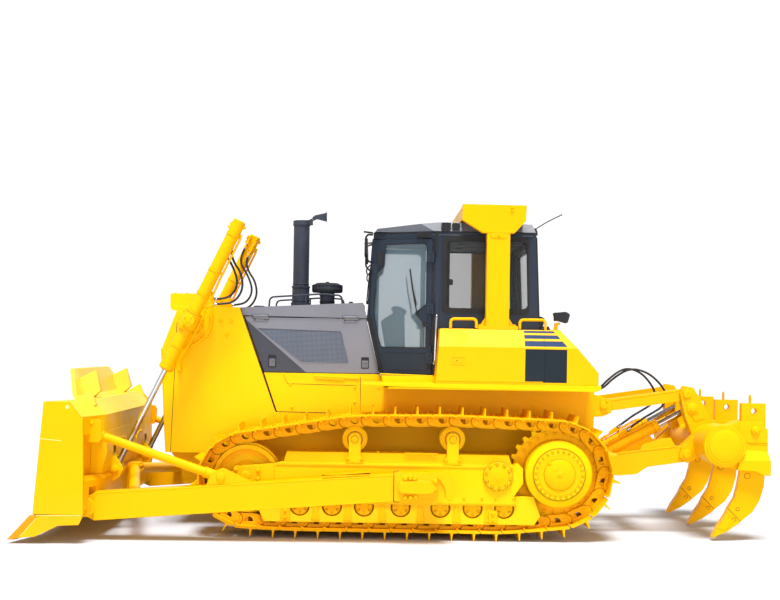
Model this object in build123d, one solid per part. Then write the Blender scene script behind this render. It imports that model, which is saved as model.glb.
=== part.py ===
from build123d import *
import math
import os

# Crawler bulldozer: track-type tractor with a semi-U blade in front and a
# three-shank parallelogram ripper behind.
# Millimetres. +X points to the blade, +Y to the machine's left, +Z up, the
# ground at Z = 0. While it is modelled, X is counted from the sprocket's axle;
# the export moves the origin under the middle of the whole machine.

# ------------------------------------------------------------ driving sizes
X_TIP = 5175.0            # front of the end bits
X_TAIL = -2140.0          # rear of the ripper beam
X_MID = (X_TIP + X_TAIL) / 2
GAUGE = 2000.0            # between the two track centre planes
SHOE_W = 560.0            # width of a track shoe
N_SHOE = 41               # shoes in one track
BLADE_HW = 1850.0         # half width of the blade
CENTRE_HW = 1250.0        # half width of the blade's straight middle
WING_DX = 160.0           # how far a wing's end stands ahead of the middle
TY = GAUGE / 2

SPR = (0.0, 655.0)        # sprocket centre (x, z)
IDL = (3045.0, 560.0)     # idler centre
CARRIERS = [(1987.0, 962.0), (1030.0, 974.0)]
ROLLERS = [2515.0, 2200.0, 1888.0, 1530.0, 1143.0, 829.0, 521.0]
ROLLER_Z = 305.0

TRUNNION = (1241.0, 530.0)      # the blade's push arms turn here
YOKE = (3658.0, 2097.0)         # lift cylinder's yoke on the radiator guard
LIFT_EYE = (4374.0, 615.0)      # lift rod's eye at the blade
LIFT_TOP = 1108.0               # barrel above the yoke
LIFT_LOW = 523.0                # barrel below the yoke
LIFT_Y = 865.0
ARM_Y0, ARM_Y1 = 1400.0, 1600.0

RIP_LF = (-534.0, 695.0)        # ripper lower arm, front pin
RIP_LR = (-1389.0, 827.0)       # ripper lower arm, rear pin
RIP_UF = (-563.0, 1297.0)       # ripper upper link, front pin
RIP_UR = (-1418.0, 1429.0)      # ripper upper link, rear pin
RIP_CF = (-600.0, 780.0)        # ripper cylinder, front pin
RIP_CR = (-1525.0, 1294.0)      # ripper cylinder, rod pin
SHANK_Y = [950.0, 0.0, -950.0]

CAB_HW = 800.0
CAB_T = 60.0                    # cab wall and door thickness
DOOR_X = 1213.0                 # rear edge of the cab door
HOOD_HW = 560.0


# ---------------------------------------------------------------- helpers
def face_xz(pts, y):
    """Flat face from (x, z) points in the plane Y = y."""
    return Face(Wire.make_polygon([Vector(x, y, z) for x, z in pts], close=True))


def side(pts, y0, y1, dx=0.0):
    """Prism of an (x, z) outline from Y = y0 to y1; dx leans it forward."""
    return Solid.extrude(face_xz(pts, y0), Vector(dx, y1 - y0, 0))


def plan(pts, z0, z1):
    """Prism of an (x, y) outline from Z = z0 to z1."""
    f = Face(Wire.make_polygon([Vector(x, y, z0) for x, y in pts], close=True))
    return Solid.extrude(f, Vector(0, 0, z1 - z0))


def front(pts, x0, x1):
    """Prism of a (y, z) outline from X = x0 to x1."""
    f = Face(Wire.make_polygon([Vector(x0, y, z) for y, z in pts], close=True))
    return Solid.extrude(f, Vector(x1 - x0, 0, 0))


def block(x0, x1, y0, y1, z0, z1):
    return Solid.make_box(abs(x1 - x0), abs(y1 - y0), abs(z1 - z0),
                          Plane(origin=(min(x0, x1), min(y0, y1), min(z0, z1))))


def rod(p, q, r):
    p, q = Vector(*p), Vector(*q)
    d = q - p
    return Solid.make_cylinder(r, d.length, Plane(origin=p, z_dir=d.normalized()))


def disc(c, r, y0, y1):
    """Cylinder along Y at (x, z) = c."""
    return rod((c[0], min(y0, y1), c[1]), (c[0], max(y0, y1), c[1]), r)


def both(shape):
    """The shape and its mirror image across the middle plane."""
    return Compound([shape, mirror(shape, about=Plane.XZ)])


def flip(shape):
    return mirror(shape, about=Plane.XZ)


def fuse(*shapes):
    out = shapes[0]
    for s in shapes[1:]:
        out = out + s
    return out


def along(p, q, t, off=0.0):
    """Point at distance t from p towards q, moved off to the left of it."""
    d = math.hypot(q[0] - p[0], q[1] - p[1])
    ux, uz = (q[0] - p[0]) / d, (q[1] - p[1]) / d
    return (p[0] + ux * t - uz * off, p[1] + uz * t + ux * off)


def bar(p, q, y0, y1, h0, h1=None, r=None):
    """Straight link between two pins with round ends, in the XZ plane."""
    h1 = h0 if h1 is None else h1
    d = math.hypot(q[0] - p[0], q[1] - p[1])
    body = side([along(p, q, 0, h0), along(p, q, d, h1),
                 along(p, q, d, -h1), along(p, q, 0, -h0)], y0, y1)
    return fuse(body, disc(p, h0, y0, y1), disc(q, h1, y0, y1))


NODES = {}


def node(name, shape):
    NODES[name] = shape


# ------------------------------------------------------------- track loop
# The pin line is the belt round the idler, the carriers, the sprocket and the
# end rollers, all as circles (x, z, radius of the pin line), clockwise.
LOOP = [(IDL[0], IDL[1], 406.0), (CARRIERS[0][0], CARRIERS[0][1], 180.0),
        (CARRIERS[1][0], CARRIERS[1][1], 180.0), (SPR[0], SPR[1], 466.0),
        (ROLLERS[-1], ROLLER_Z, 165.0), (ROLLERS[0], ROLLER_Z, 165.0)]


def belt(circles):
    """Pieces of the belt, going idler -> carriers -> sprocket -> rollers.
    Each is ("line", p, q) or ("arc", centre, r, a0, a1)."""
    n = len(circles)
    tang = []
    for i in range(n):
        x0, z0, r0 = circles[i]
        x1, z1, r1 = circles[(i + 1) % n]
        d = math.hypot(x1 - x0, z1 - z0)
        base = math.atan2(z1 - z0, x1 - x0)
        # the outside is on the right hand side of the direction of travel
        a = base - math.acos((r0 - r1) / d)
        tang.append(((x0 + r0 * math.cos(a), z0 + r0 * math.sin(a)),
                     (x1 + r1 * math.cos(a), z1 + r1 * math.sin(a)), a))
    out = []
    for i in range(n):
        p, q, a = tang[i]
        out.append(("line", p, q))
        c = circles[(i + 1) % n]
        a2 = tang[(i + 1) % n][2]
        while a2 < a:
            a2 += 2 * math.pi
        if a2 - a > math.pi:
            a2 -= 2 * math.pi
        out.append(("arc", (c[0], c[1]), c[2], a, a2))
    return out


def walk(pieces, s):
    for pc in pieces:
        if pc[0] == "line":
            L = math.dist(pc[1], pc[2])
            if s <= L:
                return along(pc[1], pc[2], s)
        else:
            L = abs(pc[4] - pc[3]) * pc[2]
            if s <= L:
                a = pc[3] + (pc[4] - pc[3]) * s / L
                return (pc[1][0] + pc[2] * math.cos(a), pc[1][1] + pc[2] * math.sin(a))
        s -= L
    return walk(pieces, 0.0)


def belt_length(pieces):
    return sum(math.dist(p[1], p[2]) if p[0] == "line" else abs(p[4] - p[3]) * p[2]
               for p in pieces)


PIECES = belt(LOOP)
PITCH = belt_length(PIECES) / N_SHOE
X_PIN = 1835.0            # one pin of the bottom run stands here


def piece_length(p):
    return math.dist(p[1], p[2]) if p[0] == "line" else abs(p[4] - p[3]) * p[2]


BOTTOM = max(range(len(PIECES)), key=lambda i: PIECES[i][0] == "line" and PIECES[i][2][1] < 200 and piece_length(PIECES[i]))
START = sum(piece_length(p) for p in PIECES[:BOTTOM]) + X_PIN - PIECES[BOTTOM][1][0]
PINS = [walk(PIECES, (START + i * PITCH) % (N_SHOE * PITCH)) for i in range(N_SHOE)]
print("track pitch", round(PITCH, 1), "belt", [tuple(round(v, 1) for v in q) for q in PINS[:3]])

D_PLATE, D_TIP, D_IN, D_RAIL = 65.0, 140.0, 49.0, 60.0
outer, inner, rail_in = [], [], []
for i in range(N_SHOE):
    p, q = PINS[i], PINS[(i + 1) % N_SHOE]
    o = PINS[i - 1]
    d = math.dist(p, q)
    g = 0.31 * d
    for t, off in [(2, D_PLATE), (g - 15, D_PLATE), (g - 7, D_TIP), (g + 7, D_TIP),
                   (g + 12, D_PLATE), (d - 2, D_PLATE)]:
        outer.append(along(p, q, t, -off))
    for t in (0.5, d - 0.5):
        inner.append(along(p, q, t, -D_IN))
    a0 = math.atan2(p[1] - o[1], p[0] - o[0])
    a1 = math.atan2(q[1] - p[1], q[0] - p[0])
    h = (a1 - a0 + math.pi) % (2 * math.pi) - math.pi
    am = a0 + h / 2
    rr = D_RAIL / math.cos(h / 2)
    rail_in.append((p[0] - rr * math.sin(am), p[1] + rr * math.cos(am)))


def ring(out_pts, in_pts, y0, y1):
    return side(out_pts, y0, y1) - side(in_pts, y0 - 1, y1 + 1)


def track(yc):
    shoes = ring(outer, inner, yc - SHOE_W / 2, yc + SHOE_W / 2)
    mid = [along(PINS[i], PINS[(i + 1) % N_SHOE], t, -D_IN - 4)
           for i in range(N_SHOE) for t in (0.5, math.dist(PINS[i], PINS[(i + 1) % N_SHOE]) - 0.5)]
    rails = [ring(mid, rail_in, yc + s, yc + s + 46) for s in (-92.0, 46.0)]
    return fuse(shoes, *rails)


node("track_left", track(TY))
node("track_right", track(-TY))


# --------------------------------------------------------- undercarriage
def sprocket(yc):
    n = 27
    pts = []
    for i in range(n):
        a = 2 * math.pi * (i + 0.5) / n
        h = math.pi / n
        for da, r in ((-h * 0.62, 432.0), (-h * 0.30, 472.0), (h * 0.30, 472.0), (h * 0.62, 432.0)):
            pts.append((SPR[0] + r * math.cos(a + da), SPR[1] + r * math.sin(a + da)))
    rim = side(pts, yc - 30, yc + 30)
    s = 1 if yc > 0 else -1
    drum = disc(SPR, 325, yc - s * 240, yc + s * 215)
    cone = Solid.make_cone(325, 262, 30, Plane(origin=(SPR[0], yc + s * 215, SPR[1]), z_dir=(0, s, 0)))
    hub = disc(SPR, 245, yc + s * 240, yc + s * 262)
    boss = disc(SPR, 150, yc + s * 250, yc + s * 272)
    return fuse(rim, drum, cone, hub, boss)


node("sprockets", Compound([sprocket(TY), sprocket(-TY)]))


def idler(yc):
    rim = disc(IDL, 329.0, yc - 98, yc + 98) - disc(IDL, 285, yc - 99, yc - 40) - disc(IDL, 285, yc + 40, yc + 99)
    flange = disc(IDL, 350.0, yc - 40, yc + 40)
    hub = disc(IDL, 110, yc - 110, yc + 110)
    return fuse(rim, flange, hub)


node("idlers", Compound([idler(TY), idler(-TY)]))


def roller(x, yc):
    c = (x, ROLLER_Z)
    return fuse(disc(c, 92, yc - 110, yc + 110), disc(c, 100, yc - 98, yc - 42), disc(c, 100, yc + 42, yc + 98),
                disc(c, 118, yc - 110, yc - 96), disc(c, 118, yc + 96, yc + 110),
                disc(c, 86, yc + 109, yc + 128), disc(c, 86, yc - 128, yc - 109))




def carrier(c, yc):
    s = 1 if yc > 0 else -1
    wheel = fuse(disc(c, 88, yc - 95, yc + 95), disc(c, 108, yc - 95, yc - 44), disc(c, 108, yc + 44, yc + 95),
                 disc(c, 122, yc - 110, yc - 94), disc(c, 122, yc + 94, yc + 110))
    shaft = disc(c, 45, yc + s * 109, yc + s * 128)
    return fuse(wheel, shaft)


node("track_rollers", Compound([roller(x, s * TY) for s in (1, -1) for x in ROLLERS]
                               + [carrier(c, s * TY) for s in (1, -1) for c in CARRIERS]))


def track_frame(s):
    y = s * TY
    # box beam with a raised top step, cut low enough to sit over the rollers
    beam = side([(2693, 640), (2760, 723), (2693, 735), (430, 735), (430, 430), (2760, 430)], y - 180, y + 180)
    step = side([(2680, 734), (2650, 832), (480, 824), (450, 734)], y - 130, y + 130)
    # outer skirt over the roller ends
    skirt = [side([(2760, 723), (430, 723), (430, 420), (400, 336), (2700, 336), (2760, 400)], a, b)
             for a, b in ((y + 180, y + 200), (y - 200, y - 180))]
    # the two arms that carry the idler's shaft, at the idler's sides
    arms = [side([(2700, 723), (3090, 690), (3190, 620), (3190, 500), (3090, 430), (2700, 430)], a, b)
            for a, b in ((y + 112, y + 180), (y - 180, y - 112))]
    shaft = disc(IDL, 60, y - 180, y + 180)
    # roller guards under the frame, with a saddle at every roller's end
    guard = [side([(2930, 431), (2930, 300), (2860, 152), (230, 152), (170, 240), (240, 431)], a, b)
             for a, b in ((y + 129, y + 181), (y - 181, y - 129))]
    holes = [disc((x, ROLLER_Z), 98, y + t, y + t + 60) for x in ROLLERS for t in (125, -185)]
    # foot of each guard, and its lower rail
    guard = [g - Compound(holes) for g in guard]
    # carrier posts
    posts = []
    for c in CARRIERS:
        posts.append(side([(c[0] - 57, 730), (c[0] + 57, 730), (c[0] + 57, c[1] + 20), (c[0] + 30, c[1] + 60),
                           (c[0] - 30, c[1] + 60), (c[0] - 57, c[1] + 20)], y + s * 129, y + s * 176))
        posts.append(block(c[0] - 75, c[0] + 75, y + s * 120, y + s * 180, 722, 790))
    # cover of the pivot shaft
    cover = disc((590, 628), 142, y + s * 199, y + s * 219)
    # rear guard between frame and sprocket
    rear = side([(430, 735), (400, 760), (345, 700), (345, 560), (430, 430)], y + s * 60, y + s * 200)
    return fuse(beam, step, *skirt, *arms, shaft, *guard, *posts, cover, rear)


# the sprocket's rim and the idler have their own room in the frame
tf = track_frame(1) - disc(IDL, 362.0, TY - 112, TY + 112) - disc(SPR, 492.0, TY - 42, TY + 42)
tf = tf - disc(IDL, 111.0, TY - 112, TY + 112)
# the trunnion that the push arm turns on
trun = fuse(disc(TRUNNION, 95, TY + 199, TY + 380), disc(TRUNNION, 70, TY + 379, TY + 470))
node("track_frames", both(fuse(tf, trun)))

# -------------------------------------------------------------- hull
hull = fuse(block(-150, 3780, -430, 430, 470, 1060),
            side([(3780, 600), (3900, 760), (3900, 858), (3780, 858)], -430, 430),
            # bar across to the track frames at the front, and the pivot shafts
            block(2330, 2530, -800, 800, 560, 720),
            disc((590, 628), 110, -800, 800))
node("main_frame", hull)
drive = (fuse(side([(-440, 560), (-150, 470), (-150, 1060), (-150, 1458), (-440, 1458)], -600, 600),
               block(-150, 1700, -600, 600, 1060, 1458),
               block(-330, 330, -760, -600, 480, 830), block(-330, 330, 600, 760, 480, 830)))
node("drive_case", drive)
node("engine_block", fuse(block(1850, 2850, -300, 300, 1061, 1960), block(2850, 3050, -200, 200, 1250, 1700)))

# radiator guard: tall box, open at the front behind the grille
GUARD = [(3897, 2250), (3883, 2215), (3830, 2203), (3975, 1815), (3935, 1088), (3914, 762), (3300, 762),
         (2760, 1070), (3186, 2250)]
g_out = side(GUARD, -610, 610)
g_in = side([(3990, 2190), (3990, 860), (3860, 800), (3360, 800), (2860, 1080), (3240, 2190)], -560, 560)
g_bay = side([(3300, 2190), (2600, 2190), (2600, 1000), (2900, 1000), (2900, 1120)], -560, 560)
top_box = side([(3897, 2248), (3897, 2377), (3560, 2377), (3540, 2248)], -600, 600)
guard = fuse((g_out - g_in - g_bay), top_box)
# brackets on both sides that carry the lift cylinders' yokes
brk = side([(3770, 2150), (3700, 2215), (3610, 2215), (3550, 2150), (3550, 2045), (3610, 1980), (3700, 1980), (3770, 2045)], 608, 750)
brk = brk - disc(YOKE, 45.05, 660, 800)
guard = fuse(guard, brk, flip(brk)) - hull
node("radiator_guard", guard)

# front grille: flat bars over the guard's mouth
gr = []
gr_front = [(3822, 2180), (3958, 1815), (3920, 1090), (3903, 880)]


def off_front(d):
    return [(x - d, z) for x, z in gr_front]


frame_g = side(gr_front + off_front(45)[::-1], -555, 555)
slots = [block(3700, 4100, -520 + j * 262, -520 + j * 262 + 232, 930 + i * 62, 930 + i * 62 + 34)
         for j in range(4) for i in range(20)]
node("front_grille", frame_g - Compound(slots))

# hood: roof panel, rear frame and the fixed strips round the side doors
HOOD_TOP = [(3186, 2250), (1932, 2318), (1886, 2155), (3155, 2169)]
hood_roof = side([(3186, 2250), (1932, 2318), (1915, 2288), (3190, 2222)], -HOOD_HW, HOOD_HW)
strip = side(HOOD_TOP, 515, HOOD_HW)
hood = fuse(hood_roof, strip, flip(strip), side([(1932, 2318), (1886, 2155), (1930, 2155), (1975, 2316)], -HOOD_HW, HOOD_HW)) - g_out
for x0 in (2905.0, 1985.0):
    room = rod((x0 - 6, 566, 2168), (x0 + 156, 566, 2168), 16)
    hood = hood - room - flip(room)
node("hood", hood)

# engine side doors, hung from the hood's edge; they open upwards
SIDE_DOOR = [(3140, 2160), (1893, 2147), (1756, 1595), (2934, 1595)]
MESH_WIN = [(3003, 2040), (2153, 2020), (2075, 1700), (2551, 1700)]
edoor = side(SIDE_DOOR, 538, HOOD_HW) - side(MESH_WIN, HOOD_HW - 5, HOOD_HW + 5)
HINGE_E = (566.0, 2168.0)       # (y, z) of the engine doors' hinge line
for x0 in (2905.0, 1985.0):
    edoor = fuse(edoor, rod((x0, *HINGE_E), (x0 + 150, *HINGE_E), 11), block(x0, x0 + 150, 559, 567, 2118, 2168))
node("engine_door_left", edoor)
node("engine_door_right", flip(edoor))

# yellow panels under the engine doors
lower = side([(2932, 1588), (1750, 1588), (1700, 1481), (1701, 1062), (2700, 1062), (2760, 1100), (2792, 1188)], 540, 585)
node("lower_side_panels", both(lower))

# exhaust stack
ex = fuse(rod((2601, 0, 2230), (2601, 0, 2330), 104), rod((2601, 0, 2329), (2601, 0, 2480), 92),
          rod((2601, 0, 2479), (2601, 0, 3150), 85), rod((2601, 0, 3149), (2601, 0, 3189), 92))
ex = ex - rod((2601, 0, 2700), (2601, 0, 3200), 76)
ex = fuse(ex, block(2484, 2520, -45, -25, 3160, 3214), block(2484, 2520, 25, 45, 3160, 3214))
ex = ex - rod((2601, 0, 3180), (2601, 0, 3300), 76) - rod((2601, 0, 3189.2), (2601, 0, 3300), 97)
node("exhaust_stack", ex - hood_roof)
RAIN_PIN = (2497.0, 3203.0)
node("rain_cap", fuse(rod((2601, 0, 3189.5), (2601, 0, 3197), 92), block(2497, 2600, -18, 18, 3196, 3210),
                      disc(RAIN_PIN, 9, -24.9, 24.9),
                      side([(2500, 3196), (2500, 3210), (2380, 3262), (2376, 3248)], -18, 18),
                      side([(2476, 3214), (2452, 3224), (2338, 3198), (2338, 3290), (2385, 3280), (2459, 3262), (2490, 3240)], -18, 18),
                      side([(2346, 3200), (2346, 3290), (2335, 3292), (2335, 3198)], -60, 60)))
pc = fuse(rod((2318, 0, 2262), (2318, 0, 2450), 78), rod((2318, 0, 2440), (2318, 0, 2470), 150),
          rod((2318, 0, 2469), (2318, 0, 2515), 160), rod((2318, 0, 2514), (2318, 0, 2540), 118))
node("pre_cleaner", pc - hood_roof)

# -------------------------------------------------------- tanks and fenders
TANK = [(1170, 2056), (-13, 2058), (-375, 1644), (-375, 1522), (1211, 1522)]
t_cut = front([(1050, 2070), (1260, 2070), (1260, 1500), (1200, 1500), (1200, 1880)], -600, 1400)
box_l = side([(1170, 2056), (150, 2057), (150, 1522), (1211, 1522)], 830, 1200) - t_cut
node("side_boxes", both(box_l))
rear_tank = side([(149, 2057), (-13, 2058), (-375, 1644), (-375, 1522), (149, 1522)], -1200, 1200) - t_cut - flip(t_cut)
node("fuel_tank", rear_tank)
fend = side([(1930, 1521), (1930, 1500), (1640, 1485), (-340, 1460), (-395, 1482), (-395, 1521)], 602, 1240)
fend = fend - block(1212, 1940, 590, 760, 1480, 1530) + block(1212, 1700, 602, 762, 1500, 1521)
node("fenders", both(fend))

# ----------------------------------------------------------------- cab
CAB_SIDE = [(1832, 3026), (1795, 3073), (1159, 3136), (343, 3128), (238, 3124), (200, 3030), (160, 2110), (160, 1530),
            (1700, 1530), (1740, 1587), (1888, 2190)]
CAB_PLAN = [(160, -CAB_HW), (DOOR_X, -CAB_HW), (1895, -560), (1895, 560), (DOOR_X, CAB_HW), (160, CAB_HW)]


def shrink(pts, d):
    """Offset a convex outline inwards by d."""
    n = len(pts)
    area = sum(pts[i][0] * pts[(i + 1) % n][1] - pts[(i + 1) % n][0] * pts[i][1] for i in range(n))
    s = 1 if area > 0 else -1
    lines = []
    for i in range(n):
        p, q = pts[i], pts[(i + 1) % n]
        lines.append((along(p, q, 0, s * d), along(p, q, math.dist(p, q), s * d)))
    out = []
    for i in range(n):
        (x1, y1), (x2, y2) = lines[i - 1]
        (x3, y3), (x4, y4) = lines[i]
        den = (x1 - x2) * (y3 - y4) - (y1 - y2) * (x3 - x4)
        a, b = x1 * y2 - y1 * x2, x3 * y4 - y3 * x4
        out.append(((a * (x3 - x4) - (x1 - x2) * b) / den, (a * (y3 - y4) - (y1 - y2) * b) / den))
    return out


CAB_SIDE_IN = [(1832, 3026), (1795, 3073), (1159, 3136), (238, 3124), (200, 3030), (160, 2110), (160, 1530), (1700, 1530), (1740, 1587), (1888, 2190)]


# (y, z) of the cab from the front: the roof's edges slope in
CAB_FRONT = [(-CAB_HW, 1400), (CAB_HW, 1400), (CAB_HW, 3034), (CAB_HW - 64, 3137), (64 - CAB_HW, 3137), (-CAB_HW, 3034)]


def cab_solid(d):
    sp = shrink(CAB_SIDE_IN, d) if d else CAB_SIDE
    pp = shrink(CAB_PLAN, d)
    fp = shrink(CAB_FRONT, d)
    return side(sp, -1000, 1000) & plan(pp, 1400, 3200) & front(fp, 0, 2000)


cab_o, cab_i = cab_solid(0), cab_solid(CAB_T)
pane = cab_solid(24) - cab_solid(34)
walls = cab_o - cab_i
DOOR = [(1842, 2962), (1240, 2962), (1240, 1600), (1718, 1600), (1862, 2190)]
DOOR_CUT = [(1849, 2969), (1233, 2969), (1233, 1593), (1723, 1593), (1869, 2190)]
DOOR_WIN = [(1700, 2912), (1325, 2922), (1290, 2888), (1290, 2305), (1402, 2218), (1290, 2085), (1290, 1866), (1742, 1866),
            (1768, 1950), (1822, 2218), (1800, 2620), (1722, 2688), (1712, 2895)]
REAR_WIN = [(1105, 2955), (285, 2955), (262, 2258), (1105, 2258)]
door_prism = side(DOOR, 540, 900)
door_gap = side(DOOR_CUT, 540, 900)
win_prism = side(DOOR_WIN, 500, 900)
rw_prism = side(REAR_WIN, 700, 900)
front_win = front([(-470, 2960), (470, 2960), (470, 2360), (-470, 2360)], 1700, 2000)
back_win = front([(-650, 2900), (650, 2900), (650, 2200), (-650, 2200)], 100, 300)
shell = walls - door_gap - flip(door_gap) - rw_prism - flip(rw_prism) - front_win - back_win
for z in (1760.0, 2260.0, 2780.0):
    room = rod((1233, 806, z - 60), (1233, 806, z + 60), 21)
    shell = shell - room - flip(room)
node("cab_shell", shell)
HINGE_CAB = (1233.0, 806.0)      # (x, y) of the cab door's hinge line


def knuckle(z, r):
    return rod((HINGE_CAB[0], HINGE_CAB[1], z - 55), (HINGE_CAB[0], HINGE_CAB[1], z + 55), r)


KNUCKLE_Z = (1760.0, 2260.0, 2780.0)
door = (walls & door_prism) - win_prism
door = fuse(door, *[knuckle(z, 16) for z in KNUCKLE_Z],
            *[block(1233, 1290, 798, 812, z - 50, z + 50) for z in KNUCKLE_Z])
node("cab_door_left", door)
node("cab_door_right", flip(door))
dg = pane & win_prism
node("door_glass_left", dg)
node("door_glass_right", flip(dg))
node("cab_windows", Compound([pane & rw_prism, pane & flip(rw_prism), pane & front_win, pane & back_win]))
# seat and consoles on the cab floor
seat = fuse(block(560, 1060, -240, 240, 1880, 2010), side([(560, 1985), (700, 1985), (560, 2620), (430, 2600)], -230, 230))
seat_base = fuse(block(600, 1020, -200, 200, 1590, 1800), block(560, 1060, -220, 220, 1800, 1879))
node("operator_seat", seat)
arm_box = side([(620, 1590), (1180, 1590), (1200, 1980), (1150, 2080), (640, 2040)], 330, 520)
dash = side([(1480, 1590), (1640, 1590), (1740, 2140), (1600, 2240), (1500, 2190)], -330, 330)
node("cab_interior", Compound([seat_base, arm_box, flip(arm_box), dash]))

# ---------------------------------------------------------------- ROPS
ROPS_PL = [(956, 3296), (323, 3289), (328, 3133), (441, 3012), (754, 3012), (961, 3140)]
rp = side(ROPS_PL, 905, 935)
post = block(483, 710, 850, 990, 2090, 3014) 
foot = block(400, 790, 835, 1045, 2058, 2090)
rside = fuse(rp, side([(710, 3012), (483, 3012), (483, 3200), (710, 3200)], 850, 990), post, foot)
beam = side([(950, 3292), (329, 3285), (331, 3150), (955, 3150)], -906, 906)
node("rops", fuse(beam, rside, flip(rside)))

# ------------------------------------------------------------- lift cylinders
HOSE_Y = 780.0                  # the lift hoses run inside the barrels


def lift_cyl(s):
    u = along(YOKE, LIFT_EYE, 1.0)
    ux, uz = u[0] - YOKE[0], u[1] - YOKE[1]
    L = math.dist(YOKE, LIFT_EYE)

    def P(t, off=0.0, y=LIFT_Y):
        """Point at t down the cylinder's axis, off towards the machine's rear."""
        return (YOKE[0] + ux * t + uz * off, s * y, YOKE[1] + uz * t - ux * off)
    brl = fuse(rod(P(-LIFT_TOP), P(LIFT_LOW), 64), rod(P(-LIFT_TOP - 12), P(-LIFT_TOP + 50), 58),
               rod(P(LIFT_LOW - 70), P(LIFT_LOW), 76), rod(P(-82), P(82), 86),
               disc(YOKE, 62, s * (LIFT_Y - 108), s * (LIFT_Y + 100)), disc(YOKE, 45, s * (LIFT_Y - 195), s * LIFT_Y))
    # hose block behind the barrel and the two pipes along its inner side
    blk = side([(3500, 2400), (3450, 2398), (3436, 2240), (3560, 2226)], s * 770, s * 880)
    brl = fuse(brl, blk)
    for t0, t1, off in ((-985, -1075, -40), (-915, -1075, 34)):
        brl = fuse(brl, rod(P(t0, off, HOSE_Y), P(t1, off, HOSE_Y), 13),
                   rod(P(t1 + 16, off, HOSE_Y - 6), P(t1 + 16, off, LIFT_Y - 30), 15))
    brl = brl - rod(P(-LIFT_TOP + 40), P(LIFT_LOW - 60), 43) - rod(P(LIFT_LOW - 61), P(LIFT_LOW + 1), 28.06)
    r = rod(P(L - 1750), P(L - 40), 28)
    eye = fuse(disc(LIFT_EYE, 72, s * LIFT_Y - 38, s * LIFT_Y + 38), rod(P(L - 120), P(L - 40), 33))
    ends = [[P(-890, -40, HOSE_Y), P(-984.6, -40, HOSE_Y)], [P(-820, 34, HOSE_Y), P(-914.6, 34, HOSE_Y)]]
    return brl, fuse(r, eye), ends


def hose(points, d):
    """Round tube on straight runs joined by tangent arcs, each as large as its
    two runs allow; returns the solid, its length and its radii."""
    P = [Vector(*q) for q in points]
    radii = []
    for i in range(1, len(P) - 1):
        a, b = P[i] - P[i - 1], P[i + 1] - P[i]
        turn = math.radians(a.get_angle(b))
        radii.append(0.45 * min(a.length, b.length) / math.tan(turn / 2))
    path = FilletPolyline(*P, radius=radii)
    w = path.wires()[0] if hasattr(path, "wires") else path
    prof = Plane(origin=P[0], z_dir=(P[1] - P[0]).normalized()) * Circle(d / 2)
    tube = sweep(prof, path=w)
    return tube, w.length, radii


HOSES = {}


def put_hose(name, points, d):
    tube, length, radii = hose(points, d)
    HOSES[name] = (points, d, length)
    print(name, "length", round(length), "radii", [round(r) for r in radii],
          "volume/expected", round(tube.volume / (length * math.pi * d * d / 4), 4))
    node(name, tube)


# hose routes (x, y, z), from the block behind the barrel up to its pipes
LIFT_HOSE_D = 23.0
ROUTE_F = [(3441, 815, 2322), (3368, 815, 2320), (3252, 800, 2352), (3185, 790, 2480), (3240, 782, 2650),
           (3338, 780, 2800)]
ROUTE_R = [(3437, 845, 2272), (3350, 845, 2270), (3215, 815, 2295), (3135, 795, 2430), (3160, 784, 2590),
           (3240, 780, 2700)]
for tag, s in (("left", 1), ("right", -1)):
    b, r, ends = lift_cyl(s)
    node("lift_barrel_" + tag, b)
    node("lift_rod_" + tag, r)
    for kind, route, end in (("front", ROUTE_F, ends[0]), ("rear", ROUTE_R, ends[1])):
        pts = [(x, s * y, z) for x, y, z in route] + end
        put_hose("lift_hose_%s_%s" % (tag, kind), pts, LIFT_HOSE_D)

# ------------------------------------------------------------------ blade
# (x, z) of the moldboard in the straight middle; the wings lean forward
C = -WING_DX
MOLD_F = [(4852 + C, 1315), (4775 + C, 1120), (4738 + C, 900), (4740 + C, 680), (4785 + C, 480), (4939 + C, 276)]
MOLD_B = [(4900 + C, 250), (4745 + C, 450), (4700 + C, 670), (4698 + C, 905), (4737 + C, 1130), (4800 + C, 1315)]


def winged(profile):
    """Middle run and both wings of one blade profile."""
    mid = side(profile, -CENTRE_HW, CENTRE_HW)
    w = side(profile, CENTRE_HW, BLADE_HW - 40, WING_DX * (BLADE_HW - 40 - CENTRE_HW) / (BLADE_HW - CENTRE_HW))
    return fuse(mid, w, flip(w))


EDGE = [(4939 + C, 276), (5175 + C, 33), (5120 + C, 33), (4900 + C, 250)]
edge = side(EDGE, -CENTRE_HW, CENTRE_HW)
ew = side(EDGE, CENTRE_HW, BLADE_HW - 40, WING_DX * (BLADE_HW - 40 - CENTRE_HW) / (BLADE_HW - CENTRE_HW))
bit = side([(4966, 262), (5175, 33), (5060, 55), (4915, 68), (4700, 172), (4515, 180), (4488, 240), (4474, 268), (4900, 268)], BLADE_HW - 40, BLADE_HW)
node("cutting_edge", fuse(edge, ew, flip(ew), bit, flip(bit)))
endp = side([(4852, 1315), (4619, 1315), (4488, 1155), (4474, 270), (4939, 276)], BLADE_HW - 40, BLADE_HW)
# box beams and ribs on the blade's back
low_box = [(4896 + C, 250), (4745 + C, 450), (4710 + C, 600), (4600 + C, 600), (4555 + C, 560), (4555 + C, 290), (4620 + C, 240)]
top_box_b = [(4698 + C, 940), (4737 + C, 1130), (4800 + C, 1315), (4690 + C, 1315), (4560 + C, 1170), (4560 + C, 1000)]
rib = [(4715 + C, 598), (4698 + C, 680), (4698 + C, 905), (4699 + C, 945), (4560 + C, 1003), (4545 + C, 800), (4600 + C, 598)]
back = [winged(low_box), winged(top_box_b)]
for y in (250.0, 680.0, 1050.0, 1240.0):
    rr = side(rib, y - 20, y + 20)
    back += [rr, flip(rr)]
back += [endp, flip(endp)]
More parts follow.
